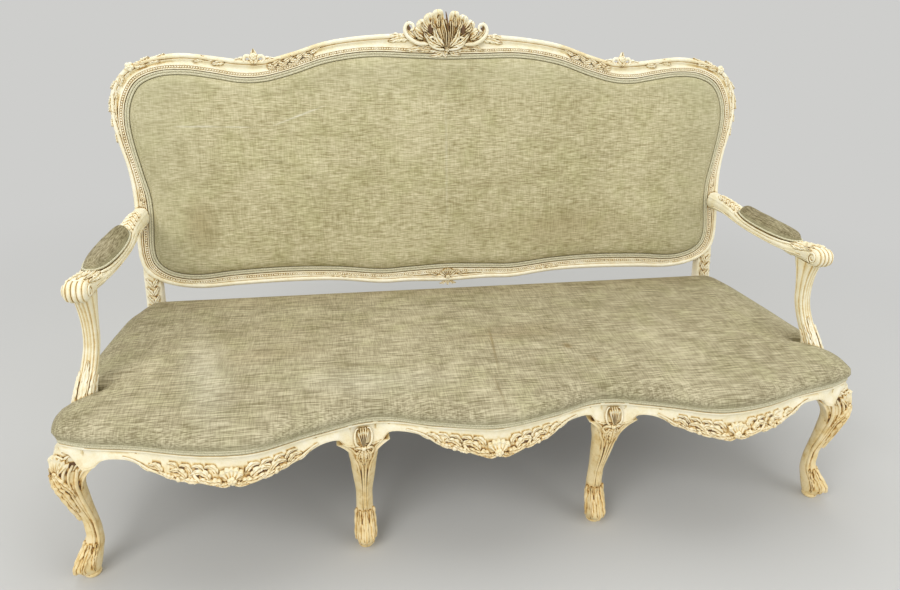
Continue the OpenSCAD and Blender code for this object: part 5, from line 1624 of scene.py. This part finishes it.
def carve_lower_rail(shape):
    def place(p, q, rise):
        return on_back(p, BACK_RISE * 0.040 + q, rise)
    fan(shape, place, 0, -14, 30, 5, 1.5, 8, 0, 1.1)
    boss_on(shape, place, 0, -12, 7, 9, 5)
    for side in (1, -1):
        for x0, y0, x1, y1, x2, y2, w in ((6, -8, 22, 4, 38, 0, 15), (8, -14, 26, -12, 42, -10, 13),
                                          (4, -16, 12, -28, 24, -30, 13), (30, -4, 46, 0, 62, -2, 9)):
            leaf_on(shape, place, [(x0 * side, y0), (x1 * side, y1), (x2 * side, y2)], w, 6, 4, 3, 1.5)
        base = LOOP_LEN + side * 2.85
        for turn in (1, -1):
            leaf_on(shape, on_frame_face, [(base, 0.72), (base + turn * 0.13, 0.62), (base + turn * 0.28, 0.66)],
                    11, 5, 3)
    leaf_on(shape, place, [(0, -18), (0, -28), (0, -36)], 15, 6, 3, 3, 1)


def apron_place(p, q, rise):
    """Coordinates on the apron: p along X, q the share of its depth from the top edge."""
    grow = apron_grow(p)
    depth = face_depth(grow)
    swell = APRON_SWELL * (0.35 + 0.65 * grow)
    n = front_normal(p)
    out = mix(-2, swell, smooth(0.3, 0.9, q)) + rise
    return np.array([p + n[0] * out, front_line(p) + n[1] * out, RAIL_TOP_H - depth * q])


def apron_carving(shape, centre, reach_in, reach_out):
    """Flowered cartouche in the middle of a bay, C-scrolls and leaves to both sides."""
    fan(shape, lambda p, q, h: apron_place(centre + p, 0.80 - q / 58, h + 1), 0, -6, 30, 5, 1.7, 8, 0, 1.25)
    boss_on(shape, lambda p, q, h: apron_place(centre + p, 0.86 - q / 58, h + 1), 0, 0, 10, 8, 5)
    for side, reach in ((1, reach_out), (-1, reach_in)):
        def place(p, q, h, side=side):
            return apron_place(centre + p * side, q, h)
        leaf_on(shape, place, [(4, 0.92), (14, 1.02), (30, 1.0)], 15, 7, 4, 3, 2)
        stem_on(shape, place, [(8, 0.98), (34, 0.97), (62, 0.84), (70, 0.62), (58, 0.56), (52, 0.70)], 4.6, 2.6, 1)
        for k in range(7):
            start = 18 + (reach - 30) * (k / 7) ** 1.05
            rise = 0.80 - 0.10 * (k % 2)
            length = mix(40, 26, k / 6)
            leaf_on(shape, place, [(start, rise + 0.06), (start + length * 0.5, rise - 0.10 * (1 if k % 2 else -1)),
                                   (start + length, rise - 0.02)], mix(19, 10, k / 6), mix(7.5, 4, k / 6), 4, 3, 1.5)
        for k in range(4):
            start = 26 + k * 24
            leaf_on(shape, place, [(start, 0.62), (start + 12, 0.44), (start + 26, 0.46)],
                    mix(13, 8, k / 3), 5, 3, 3, 1)
        boss_on(shape, place, reach * 0.52, 0.90, 5.5, 6)
        stem_on(shape, place, [(reach * 0.45, 0.93), (reach * 0.7, 0.90), (reach * 0.95, 0.80),
                               (reach * 1.1, 0.72)], 3.4, 1.8, 1)


def carve_outer_apron(sign):
    def carve(shape):
        apron_carving(shape, 536 * sign, 150 if sign > 0 else 190, 190 if sign > 0 else 150)
    return carve


def carve_centre_apron(shape):
    apron_carving(shape, 0, 170, 170)


def leg_place(foot, u, shares):
    """Coordinates on a leg: row of its table from the top, angle from its outer line."""
    return lambda k, angle, rise: leg_point(foot, u, shares, k, angle, rise)


def carve_corner_leg(shape, foot, u, shares):
    place = leg_place(foot, u, shares)
    fan(shape, lambda p, q, h: place(0.5 - q / 26, p / 30 - 0.25, h), 0, -26, 32, 7, 1.9, 6, 0, 1.1)
    boss_on(shape, lambda p, q, h: place(1.35 + q, p - 0.25, h), 0, 0, 6, 6, 5)
    for k0, a0 in ((0.42, -0.55), (0.40, -0.95), (0.42, -1.35)):
        stem_on(shape, place, [(k0, a0), (0.9, a0 * 0.9), (1.5, a0 * 0.72), (2.4, a0 * 0.8)], 3.6, 2.2, 0.8)
    for turn in (1, -1):
        stem_on(shape, place, [(0.56, -0.7), (0.44, -0.7 + turn * 0.25), (0.40, -0.7 + turn * 0.5),
                               (0.52, -0.7 + turn * 0.62), (0.62, -0.7 + turn * 0.5)], 3.2, 2.2, 2.5)
    for k0, k1, a1, w in ((1.5, 4.8, -0.1, 26), (1.4, 3.8, 0.6, 20), (1.4, 4.2, -0.65, 22), (1.2, 2.6, 1.15, 17),
                          (1.3, 3.2, -1.1, 17)):
        leaf_on(shape, place, [(k0, a1 * 0.2), (mix(k0, k1, 0.5), a1 * 0.8), (k1, a1 * 1.05)], w, 7, 6, 3, 2)
    for a in (-1.45, 1.45):
        stem_on(shape, place, [(0.6, a), (2.2, a), (4, a * 1.05), (6, a), (8, a), (9.6, a * 0.95)], 4.4, 3.0, 0.5)
    for a in (-0.95, 0.95):
        stem_on(shape, place, [(2.2, a), (4, a), (6, a), (8, a)], 2.6, 2.2, 0.4)
    for a, w in ((0, 15), (0.7, 13), (-0.7, 13), (1.4, 11), (-1.4, 11)):
        leaf_on(shape, place, [(7.6, a * 0.8), (9.0, a), (10.7, a * 1.1)], w, 6, 4, 3, 2)


def head_place(foot, u, shares):
    """Front of a middle leg: p across from its middle, q the height over the floor."""
    heights = LEG_TABLE[:, 0]

    def place(p, q, rise):
        if q > 302:
            x = INNER_X + p
            out = mix(0.5, 10.5, smooth(346, 306, q)) + rise
            return np.array([x, front_line(x) - out, q])
        row = float(np.interp(-q, -heights, np.arange(len(heights))))
        return leg_point(foot, u, shares, row, math.asin(math.copysign(min(0.95, abs(p) / 27) ** 1.4, p)), rise)
    return place


def carve_middle_leg(shape, foot, u, shares):
    place, face = leg_place(foot, u, shares), head_place(foot, u, shares)
    fan(shape, face, 0, 298, 46, 5, 0.66, 8, 0, 1.0, 0.75)
    for side in (1, -1):
        stem_on(shape, face, [(4 * side, 299), (15 * side, 308), (18 * side, 324), (14 * side, 338),
                              (9 * side, 341)], 2.6, 1.8, 2)
        stem_on(shape, face, [(2 * side, 296), (13 * side, 297), (19 * side, 288), (13 * side, 281),
                              (9 * side, 287)], 3.2, 2.0, 2)
        leaf_on(shape, face, [(4 * side, 292), (11 * side, 276), (8 * side, 256)], 14, 6, 4, 3, 0.5)
        stem_on(shape, face, [(22 * side, 300), (20 * side, 270), (16 * side, 250), (13 * side, 215),
                              (12 * side, 180), (12 * side, 130), (12 * side, 90)], 2.8, 2.4, 0.6)
        stem_on(shape, face, [(8 * side, 262), (6 * side, 235), (5 * side, 200), (5 * side, 150),
                              (5 * side, 92)], 2.6, 2.2, 0.8)
    boss_on(shape, face, 0, 297, 6, 8)
    leaf_on(shape, face, [(0, 293), (0, 274), (0, 246)], 20, 8, 5, 3, 0.5)
    for a, w in ((0, 14), (0.75, 12), (-0.75, 12), (1.5, 11), (-1.5, 11)):
        leaf_on(shape, place, [(7.2, a * 0.8), (9.0, a), (11.2, a * 1.05)], w, 6, 4, 3, 1)


def arm_place(t, angle, rise):
    row = open_at(ARM_TABLE, float(np.interp(t, ARM_TABLE[:, 0], np.arange(len(ARM_TABLE)))))
    c = arm_mid(t, row[3])
    ca, sa = math.cos(angle), math.sin(angle)
    flat = 0.82 if sa < 0 else 1
    return np.array([c[0] + (ARM_W * row[1] + rise) * signed_power(ca, 0.75), c[1],
                     c[2] + (ARM_T * row[2] * flat + rise) * signed_power(sa, 0.8)])


def knuckle(shape):
    """Fluted roll at the front of the arm, with a small scroll on each side."""
    middle = arm_mid(0, 0) + np.array([0, 13, 6])
    half, reach, rings, marks = 25, 22.5, [], []
    for x in np.linspace(-half, half, 101):
        q = x / half
        cut = (1 - abs(math.cos(math.pi * x / 10)) ** 0.6) * (1 - q ** 6)
        r = reach * math.sqrt(max(0.0004, 1 - abs(q) ** 5)) - 2.4 * cut
        rings.append([middle + np.array([x, r * math.cos(a), r * math.sin(a)])
                      for a in even_angles(36)])
        marks.append([0.62 * cut] * 36)
    shape.loft(rings, marks)
    for side in (1, -1):
        curl = []
        for k in range(15):
            a, r = -1.2 + k * 0.62, 15 - k * 0.75
            curl.append(middle + np.array([side * (half - 0.8), r * math.cos(a), r * math.sin(a)]))
        stem(shape, curl, [np.array([side, 0.0, 0.0])] * len(curl), 2.8, 2.0)


def carve_arm(shape):
    up = math.pi / 2
    knuckle(shape)
    for k in range(5):
        t = mix(0.93, 0.75, k / 4)
        for side in (1, -1):
            leaf_on(shape, arm_place, [(t, up), (t - 0.025, up - side * 0.4), (t - 0.06, up - side * 0.7)],
                    11, 4.5, 3, 2, 1)
    for a in (up, up - 0.5, up + 0.5, up - 1.0, up + 1.0):
        leaf_on(shape, arm_place, [(0.20, mix(a, up, 0.2)), (0.13, a), (0.05, a)], 15, 5.5, 4, 2.5, 1)
    for side in (1, -1):
        stem_on(shape, arm_place, [(0.20, up - side * 0.75), (0.3, up - side * 1.0), (0.46, up - side * 1.08),
                                   (0.62, up - side * 1.0), (0.72, up - side * 0.75)], 3.4, 3.4, 0.2)
        turn = 0 if side > 0 else math.pi
        stem_on(shape, arm_place, [(0.06, -side * 0.5 + turn)] + [(t, -side * 0.4 + turn) for t in (0.3, 0.6, 0.95)],
                2.6, 2.2, 0.2)


def support_place(z, angle, rise):
    row = open_at(SUPPORT_TABLE, float(np.interp(z, SUPPORT_TABLE[:, 0], np.arange(len(SUPPORT_TABLE)))))
    c = support_mid(row)
    ca, sa = math.cos(angle), math.sin(angle)
    return np.array([c[0] + (SUPPORT_W * row[3] + rise) * signed_power(ca, 0.7),
                     c[1] + (SUPPORT_W * row[4] + rise) * signed_power(sa, 0.7), c[2]])


def carve_support(shape):
    front = -math.pi / 2
    for a, z, w in ((front, 0.44, 17), (front + 0.8, 0.36, 14), (front - 0.8, 0.36, 14), (front + 1.6, 0.30, 13),
                    (front - 1.6, 0.30, 13)):
        leaf_on(shape, support_place, [(0.06, a), (z * 0.6, a), (z, a)], w, 5, 5, 2.5, 1.5)


# Rays from each point, how far over the surface they start, in metres, the closed share that a
# plain surface has, and how strongly the rest counts
GLAZE_RAYS, RAY_LIFT, PLAIN_SHARE, GLAZE_GAIN = 14, 0.0004, 0.14, 1.75


def ray_fan(count):
    """Even directions over a half sphere about Z, weighted to its middle."""
    rays = []
    for k in range(count):
        z = math.sqrt(1 - (k + 0.5) / count)
        a = k * math.pi * (3 - math.sqrt(5))
        r = math.sqrt(1 - z * z)
        rays.append((r * math.cos(a), r * math.sin(a), z))
    return rays


class SOFA_OT_glaze(bpy.types.Operator):
    """Works out how deep each point of the carving lies, where the glaze stays when it is wiped"""

    bl_idname = "sofa.glaze"
    bl_label = "Glaze in the carving"

    def execute(self, context):
        paint = finishes()["paint"]
        pieces = [o for o in context.scene.objects if o.type == "MESH" and paint.name in o.data.materials]
        verts, faces = [], []
        for piece in context.scene.objects:
            if piece.type != "MESH" or piece.name == "studio_floor" or piece.hide_render:
                continue
            base = len(verts)
            verts.extend(v.co.copy() for v in piece.data.vertices)
            faces.extend(tuple(base + k for k in p.vertices) for p in piece.data.polygons)
        tree = BVHTree.FromPolygons(verts, faces)
        reach = context.scene.sofa_sizes.glaze_reach
        rays = [Vector(r) for r in ray_fan(GLAZE_RAYS)]
        for piece in pieces:
            mesh = piece.data
            layer = mesh.attributes["glaze_and_shade"]
            values = []
            for vertex, mark in zip(mesh.vertices, layer.data):
                normal = vertex.normal
                turn = normal.to_track_quat("Z", "Y")
                start = vertex.co + normal * RAY_LIFT
                closed = 0.0
                for ray in rays:
                    hit = tree.ray_cast(start, turn @ ray, reach)
                    if hit[0] is not None:
                        closed += 1 - hit[3] / reach * 0.8
                deep = max(0.0, closed / len(rays) - PLAIN_SHARE) * GLAZE_GAIN
                values.append(min(1.0, max(0.0, deep + mark.value)))
            layer.data.foreach_set("value", values)
        return {"FINISHED"}


def distance(name, description, default, low, high):
    return bpy.props.FloatProperty(name=name, description=description, default=default, min=low, max=high,
                                   unit="LENGTH", subtype="DISTANCE")


def hex_colour(name, description, default):
    return bpy.props.StringProperty(name=name, description=description, default=default, maxlen=7)


class SofaSizes(bpy.types.PropertyGroup):
    """Sizes of the modelled surfaces; the frame and its joints keep the sizes of the CAD."""

    seat_crown: distance("Seat crown", "Height of the stuffed seat over its rails", 0.062, 0.02, 0.09)
    seat_swell: distance("Seat swell", "How far the seat bulges over the cord", 0.012, 0, 0.025)
    back_crown: distance("Back crown", "Height of the stuffed back panel over its ledge", 0.022, 0.005, 0.04)
    pad_crown: distance("Arm pad crown", "Height of the arm pads", 0.025, 0.01, 0.035)
    cord_width: distance("Cord width", "Thickness of each of the double cords", 0.0058, 0.003, 0.008)
    bead_width: distance("Bead width", "Width of the beads round the back", 0.0058, 0.003, 0.0062)
    carving: bpy.props.FloatProperty(
        name="Carving", description="Height of the carved leaves, as a share of the photo's", default=1, min=0.5,
        max=1.5, subtype="FACTOR")
    glaze_reach: distance("Glaze reach", "Distance over which the carving holds the glaze", 0.011, 0.004, 0.03)


class SofaColours(bpy.types.PropertyGroup):
    """Colours of the sofa's finishes, as sRGB hex values."""

    highlight_hex: hex_colour("Rubbed paint", "Paint on the high parts of the carving", "#F7F1DA")
    paint_hex: hex_colour("Cream paint", "Paint on the plain parts", "#F1E8C6")
    shade_hex: hex_colour("Aged paint", "Paint where the glaze lies thinly", "#DFCB98")
    glaze_hex: hex_colour("Ochre glaze", "Glaze left beside the carving", "#C09A58")
    recess_hex: hex_colour("Brown glaze", "Glaze in the deepest cuts", "#664A2C")
    leg_tint_hex: hex_colour("Leg tint", "Warm tone the paint takes on the legs", "#FFF0D2")
    # Also the colour of the painted shade on the double cords
    back_dark_hex: hex_colour("Back velvet shade", "Darkest yarns of the back panel", "#958B62")
    back_hex: hex_colour("Back velvet", "Middle yarns of the back panel", "#B9B08A")
    back_light_hex: hex_colour("Back velvet light", "Palest yarns of the back panel", "#D6CEAA")
    seat_dark_hex: hex_colour("Seat velvet shade", "Darkest yarns of the seat", "#7E7457")
    seat_hex: hex_colour("Seat velvet", "Middle yarns of the seat, duller from use", "#A1987A")
    seat_light_hex: hex_colour("Seat velvet light", "Palest yarns of the seat", "#C4BB9B")
    velvet_green_hex: hex_colour("Velvet green", "Tint of the greener patches", "#EAF2D6")
    # Painted sheen: the paler velvet tone on the rims of the covers
    velvet_sheen_hex: hex_colour("Velvet edge", "Faded velvet near the edges", "#B4B08E")
    rubbed_hex: hex_colour("Rubbed velvet", "Pale scratches and rubbed places", "#DCD8C2")
    stain_hex: hex_colour("Stain", "Old marks in the velvet", "#B7A071")
    pad_dark_hex: hex_colour("Pad shade", "Darkest yarns of the arm pads", "#62583E")
    pad_hex: hex_colour("Pad velvet", "Middle yarns of the arm pads", "#8A8062")
    pad_light_hex: hex_colour("Pad light", "Palest yarns of the arm pads", "#B0A688")
    cord_hex: hex_colour("Cord", "Double cord round the covers", "#D6D1B2")
    cord_light_hex: hex_colour("Cord light", "Top of the double cord", "#EBE6CB")
    cord_shade_hex: hex_colour("Cord shade", "Sides of the double cord", "#A79E76")
    beech_hex: hex_colour("Beech", "Bare wood inside the frame", "#C29C6B")
    beech_dark_hex: hex_colour("Beech grain", "Dark grain of the bare wood", "#9C7546")
    beech_light_hex: hex_colour("Beech light", "Pale grain of the bare wood", "#DDBD8E")
    floor_hex: hex_colour("Floor", "Paper under the sofa", "#C4C4C1")
    backdrop_hex: hex_colour("Backdrop", "Plain floor and backdrop", "#CECECC")


FINISHES = {}


def finishes():
    """The materials, made once."""
    if not FINISHES:
        c = bpy.context.scene.sofa_colours
        FINISHES.update(
            paint=painted_beech(c),
            back=slub_velvet("slub_velvet_back", c, (c.back_dark_hex, c.back_hex, c.back_light_hex), "x", 24, 0.11),
            seat=slub_velvet("slub_velvet_seat", c, (c.seat_dark_hex, c.seat_hex, c.seat_light_hex), "x", 58, 0.09),
            pad=slub_velvet("slub_velvet_pads", c, (c.pad_dark_hex, c.pad_hex, c.pad_light_hex), "y", 24, 0.11,
                            False),
            cord=twisted_cord(c),
            beech=bare_beech(c),
            steel=bright_steel(),
            webbing=plain_weave("jute_webbing", "#6F5A38", "#B49A68", 3),
            hessian=plain_weave("hessian", "#6B5634", "#A88F60", 2),
            lining=plain_weave("black_lining", "#1D1C1A", "#3A3834", 1.5),
        )
    return FINISHES


class SOFA_OT_back_frame(bpy.types.Operator):
    """Crest rail, stiles and lower rail of the back, moulded, beaded and carved"""

    bl_idname = "sofa.back_frame"
    bl_label = "Back frame"

    def execute(self, context):
        paint = finishes()["paint"]
        back_member("crest_rail", CREST_START, LOOP_LEN - CREST_START, paint, carve_crest)
        back_member("lower_back_rail", LOOP_LEN - RAIL_END, LOOP_LEN + RAIL_END, paint, carve_lower_rail)
        for name, sign in (("stile_right", 1), ("stile_left", -1)):
            stile(name, sign, paint, carve_stile)
        return {"FINISHED"}


class SOFA_OT_seat_frame(bpy.types.Operator):
    """Front and side rails of the seat, with their carved aprons"""

    bl_idname = "sofa.seat_frame"
    bl_label = "Seat frame"

    def execute(self, context):
        paint = finishes()["paint"]
        outer, near, inner = CORNER_BLOCK_X - LEG_BLOCK / 2, INNER_X + LEG_BLOCK / 2, INNER_X - LEG_BLOCK / 2
        front_rail("front_rail_right", near, outer, paint, carve_outer_apron(1))
        front_rail("front_rail_left", -outer, -near, paint, carve_outer_apron(-1))
        front_rail("front_rail_centre", -inner, inner, paint, carve_centre_apron)
        side_rail("side_rail_right", 1, paint)
        side_rail("side_rail_left", -1, paint)
        return {"FINISHED"}


class SOFA_OT_legs(bpy.types.Operator):
    """Four carved cabriole legs in front and two plain legs under the rear rail"""

    bl_idname = "sofa.legs"
    bl_label = "Legs"

    def execute(self, context):
        paint = finishes()["paint"]
        for side, sign in (("right", 1), ("left", -1)):
            cabriole_leg("front_leg_outer_" + side, (CORNER_X, FOOT_Y), (1, -1), (1, 1, 3, 1), CORNER_BLOCK_X,
                         sign, paint, carve_corner_leg)
            cabriole_leg("front_leg_inner_" + side, (INNER_X, FOOT_Y), (0, -1), (0.84, 1.15, 13, 0.6), INNER_X,
                         sign, paint, carve_middle_leg)
            rear_leg("rear_leg_inner_" + side, sign, paint)
        return {"FINISHED"}


class SOFA_OT_arms(bpy.types.Operator):
    """Carved arms on their supports, with the velvet pads"""

    bl_idname = "sofa.arms"
    bl_label = "Arms"

    def execute(self, context):
        f = finishes()
        for side, sign in (("right", 1), ("left", -1)):
            arm("arm_" + side, sign, f["paint"], carve_arm)
            arm_support("arm_support_" + side, sign, f["paint"], carve_support)
            arm_pad("arm_pad_" + side, sign, f["pad"], ["arm_cover_" + side, "arm_stuffing_" + side])
            pad_cord("arm_pad_cord_" + side, sign, f["cord"], "arm_welt_" + side)
        return {"FINISHED"}


class SOFA_OT_covers(bpy.types.Operator):
    """Velvet covers of the seat and the back, with their double cords"""

    bl_idname = "sofa.covers"
    bl_label = "Covers"

    def execute(self, context):
        f = finishes()
        seat_piece(f["seat"])
        back_piece(f["back"])
        seat_welt(f["cord"])
        back_welt(f["cord"])
        outer_back(f["back"])
        return {"FINISHED"}


CARRIED = {
    "beech": ["rear_rail", "cross_rail_left", "cross_rail_right", "corner_blocks", "back_muntins", "joint_pegs"],
    "steel": ["corner_block_screws"],
    "webbing": ["seat_webbing", "back_webbing"],
    "hessian": ["seat_hessian", "back_hessian"],
}


class SOFA_OT_inner_parts(bpy.types.Operator):
    """Finishes of the inner rails, blocks, screws and webbing, and the lining under the seat"""

    bl_idname = "sofa.inner_parts"
    bl_label = "Inner parts"

    def execute(self, context):
        for finish, names in CARRIED.items():
            for name in names:
                node = bpy.data.objects[name]
                for slot in node.material_slots:
                    slot.link = "OBJECT"
                    slot.material = finishes()[finish]
        bottom_lining(finishes()["lining"])
        return {"FINISHED"}


# The camera as solved from the photo: lens in millimetres, the middle of its picture in pixels,
# its place in metres, its look and its up direction
LENS, PICTURE_MIDDLE = 27.588, (451.6, 296.0)
CAMERA_PLACE = (-0.3246, -1.5338, 1.2081)
CAMERA_LOOK, CAMERA_UP = (0.1685, 0.8895, -0.4247), (0.0503, 0.4226, 0.9049)
# Lamps: place, size, power, and where they point
LAMPS = {
    "key_lamp": ((-2.6, -2.8, 3.2), 2.6, 92, (0, 0, 0.5)),
    "fill_lamp": ((3.2, -2.6, 2.2), 2.8, 46, (0, 0, 0.4)),
    "top_lamp": ((0, 0.6, 3.8), 3.2, 60, (0, 0, 0.2)),
}
AIR_GREY, FLOOR_SIZE = 0.62, 14


class SOFA_OT_stage(bpy.types.Operator):
    """Plain pale floor and backdrop, soft studio lamps and the camera"""

    bl_idname = "sofa.stage"
    bl_label = "Stage"

    def execute(self, context):
        scene = context.scene
        scene.view_settings.view_transform = "Standard"
        bpy.ops.object.select_all(action="DESELECT")
        bpy.ops.mesh.primitive_plane_add(size=FLOOR_SIZE, location=(0, 0, 0))
        floor = context.active_object
        floor.name = "studio_floor"
        floor.data.materials.append(studio_paper(scene.sofa_colours))
        for name, (spot, size, power, aim) in LAMPS.items():
            data = bpy.data.lights.new(name, "AREA")
            data.size, data.energy = size, power
            lamp = bpy.data.objects.new(name, data)
            scene.collection.objects.link(lamp)
            lamp.location = spot
            lamp.rotation_euler = (Vector(aim) - Vector(spot)).to_track_quat("-Z", "Y").to_euler()
        world = bpy.data.worlds.new("soft_daylight")
        scene.world = world
        world.use_nodes = True
        tree = world.node_tree
        shine = tree.nodes["Background"]
        rays = add_node(tree, "LightPath").outputs
        seen = calc(tree, "MAXIMUM", rays["Is Camera Ray"], rays["Is Glossy Ray"])
        tone = mix_colour(tree, seen, (AIR_GREY, AIR_GREY, AIR_GREY, 1), hex_rgba(scene.sofa_colours.backdrop_hex))
        tree.links.new(tone, shine.inputs["Color"])
        camera = bpy.data.cameras.new("photo_camera")
        camera.lens, camera.sensor_width, camera.sensor_fit = LENS, 36, "HORIZONTAL"
        camera.shift_x = (PHOTO_W / 2 - PICTURE_MIDDLE[0]) / PHOTO_W
        camera.shift_y = (PICTURE_MIDDLE[1] - PHOTO_H / 2) / PHOTO_W
        holder = bpy.data.objects.new("photo_camera", camera)
        scene.collection.objects.link(holder)
        look, up = Vector(CAMERA_LOOK).normalized(), Vector(CAMERA_UP).normalized()
        side = look.cross(up).normalized()
        up = side.cross(look)
        turn = Matrix((side, up, -look)).transposed().to_4x4()
        holder.matrix_world = Matrix.Translation(CAMERA_PLACE) @ turn
        scene.camera = holder
        return {"FINISHED"}


def studio_paper(colours):
    """Matt seamless paper with the sofa's soft shadow on it. Away from the sofa it takes the
    backdrop's own even tone for the camera, so that no edge shows."""
    material, tree, shader, place = new_material("seamless_paper")
    feed(tree, shader, {"Base Color": hex_rgba(colours.floor_hex), "Roughness": 0.95, "Specular IOR Level": 0.1})
    away = add_node(tree, "VectorMath", {0: place}, operation="LENGTH").outputs["Value"]
    even = ranged(tree, away, 1.0, 3.0, interpolation_type="SMOOTHSTEP")
    seen = add_node(tree, "LightPath").outputs["Is Camera Ray"]
    glow = add_node(tree, "Emission", {"Color": hex_rgba(colours.backdrop_hex)})
    both = add_node(tree, "MixShader", {
        "Fac": calc(tree, "MULTIPLY", even, seen), 1: shader.outputs["BSDF"], 2: glow.outputs["Emission"]})
    tree.links.new(both.outputs["Shader"], tree.nodes["Material Output"].inputs["Surface"])
    return material


class VIEW3D_PT_sofa(bpy.types.Panel):
    """Buttons that build the sofa step by step"""

    bl_label = "Cabriole sofa"
    bl_space_type = "VIEW_3D"
    bl_region_type = "UI"
    bl_category = "Sofa"

    def draw(self, context):
        for operator in OPERATORS:
            self.layout.operator(operator.bl_idname)
        for group in (context.scene.sofa_sizes, context.scene.sofa_colours):
            for key in type(group).__annotations__:
                self.layout.prop(group, key)


OPERATORS = (SOFA_OT_stage, SOFA_OT_covers, SOFA_OT_back_frame, SOFA_OT_seat_frame, SOFA_OT_legs, SOFA_OT_arms,
             SOFA_OT_inner_parts, SOFA_OT_glaze)
CLASSES = (SofaSizes, SofaColours) + OPERATORS + (VIEW3D_PT_sofa,)


def register():
    for cls in CLASSES:
        bpy.utils.register_class(cls)
    bpy.types.Scene.sofa_sizes = bpy.props.PointerProperty(type=SofaSizes)
    bpy.types.Scene.sofa_colours = bpy.props.PointerProperty(type=SofaColours)


def unregister():
    del bpy.types.Scene.sofa_colours, bpy.types.Scene.sofa_sizes
    for cls in reversed(CLASSES):
        bpy.utils.unregister_class(cls)


def main():
    register()
    for operator in OPERATORS:
        prefix, name = operator.bl_idname.split(".")
        getattr(getattr(bpy.ops, prefix), name)()


if __name__ == "__main__":
    main()
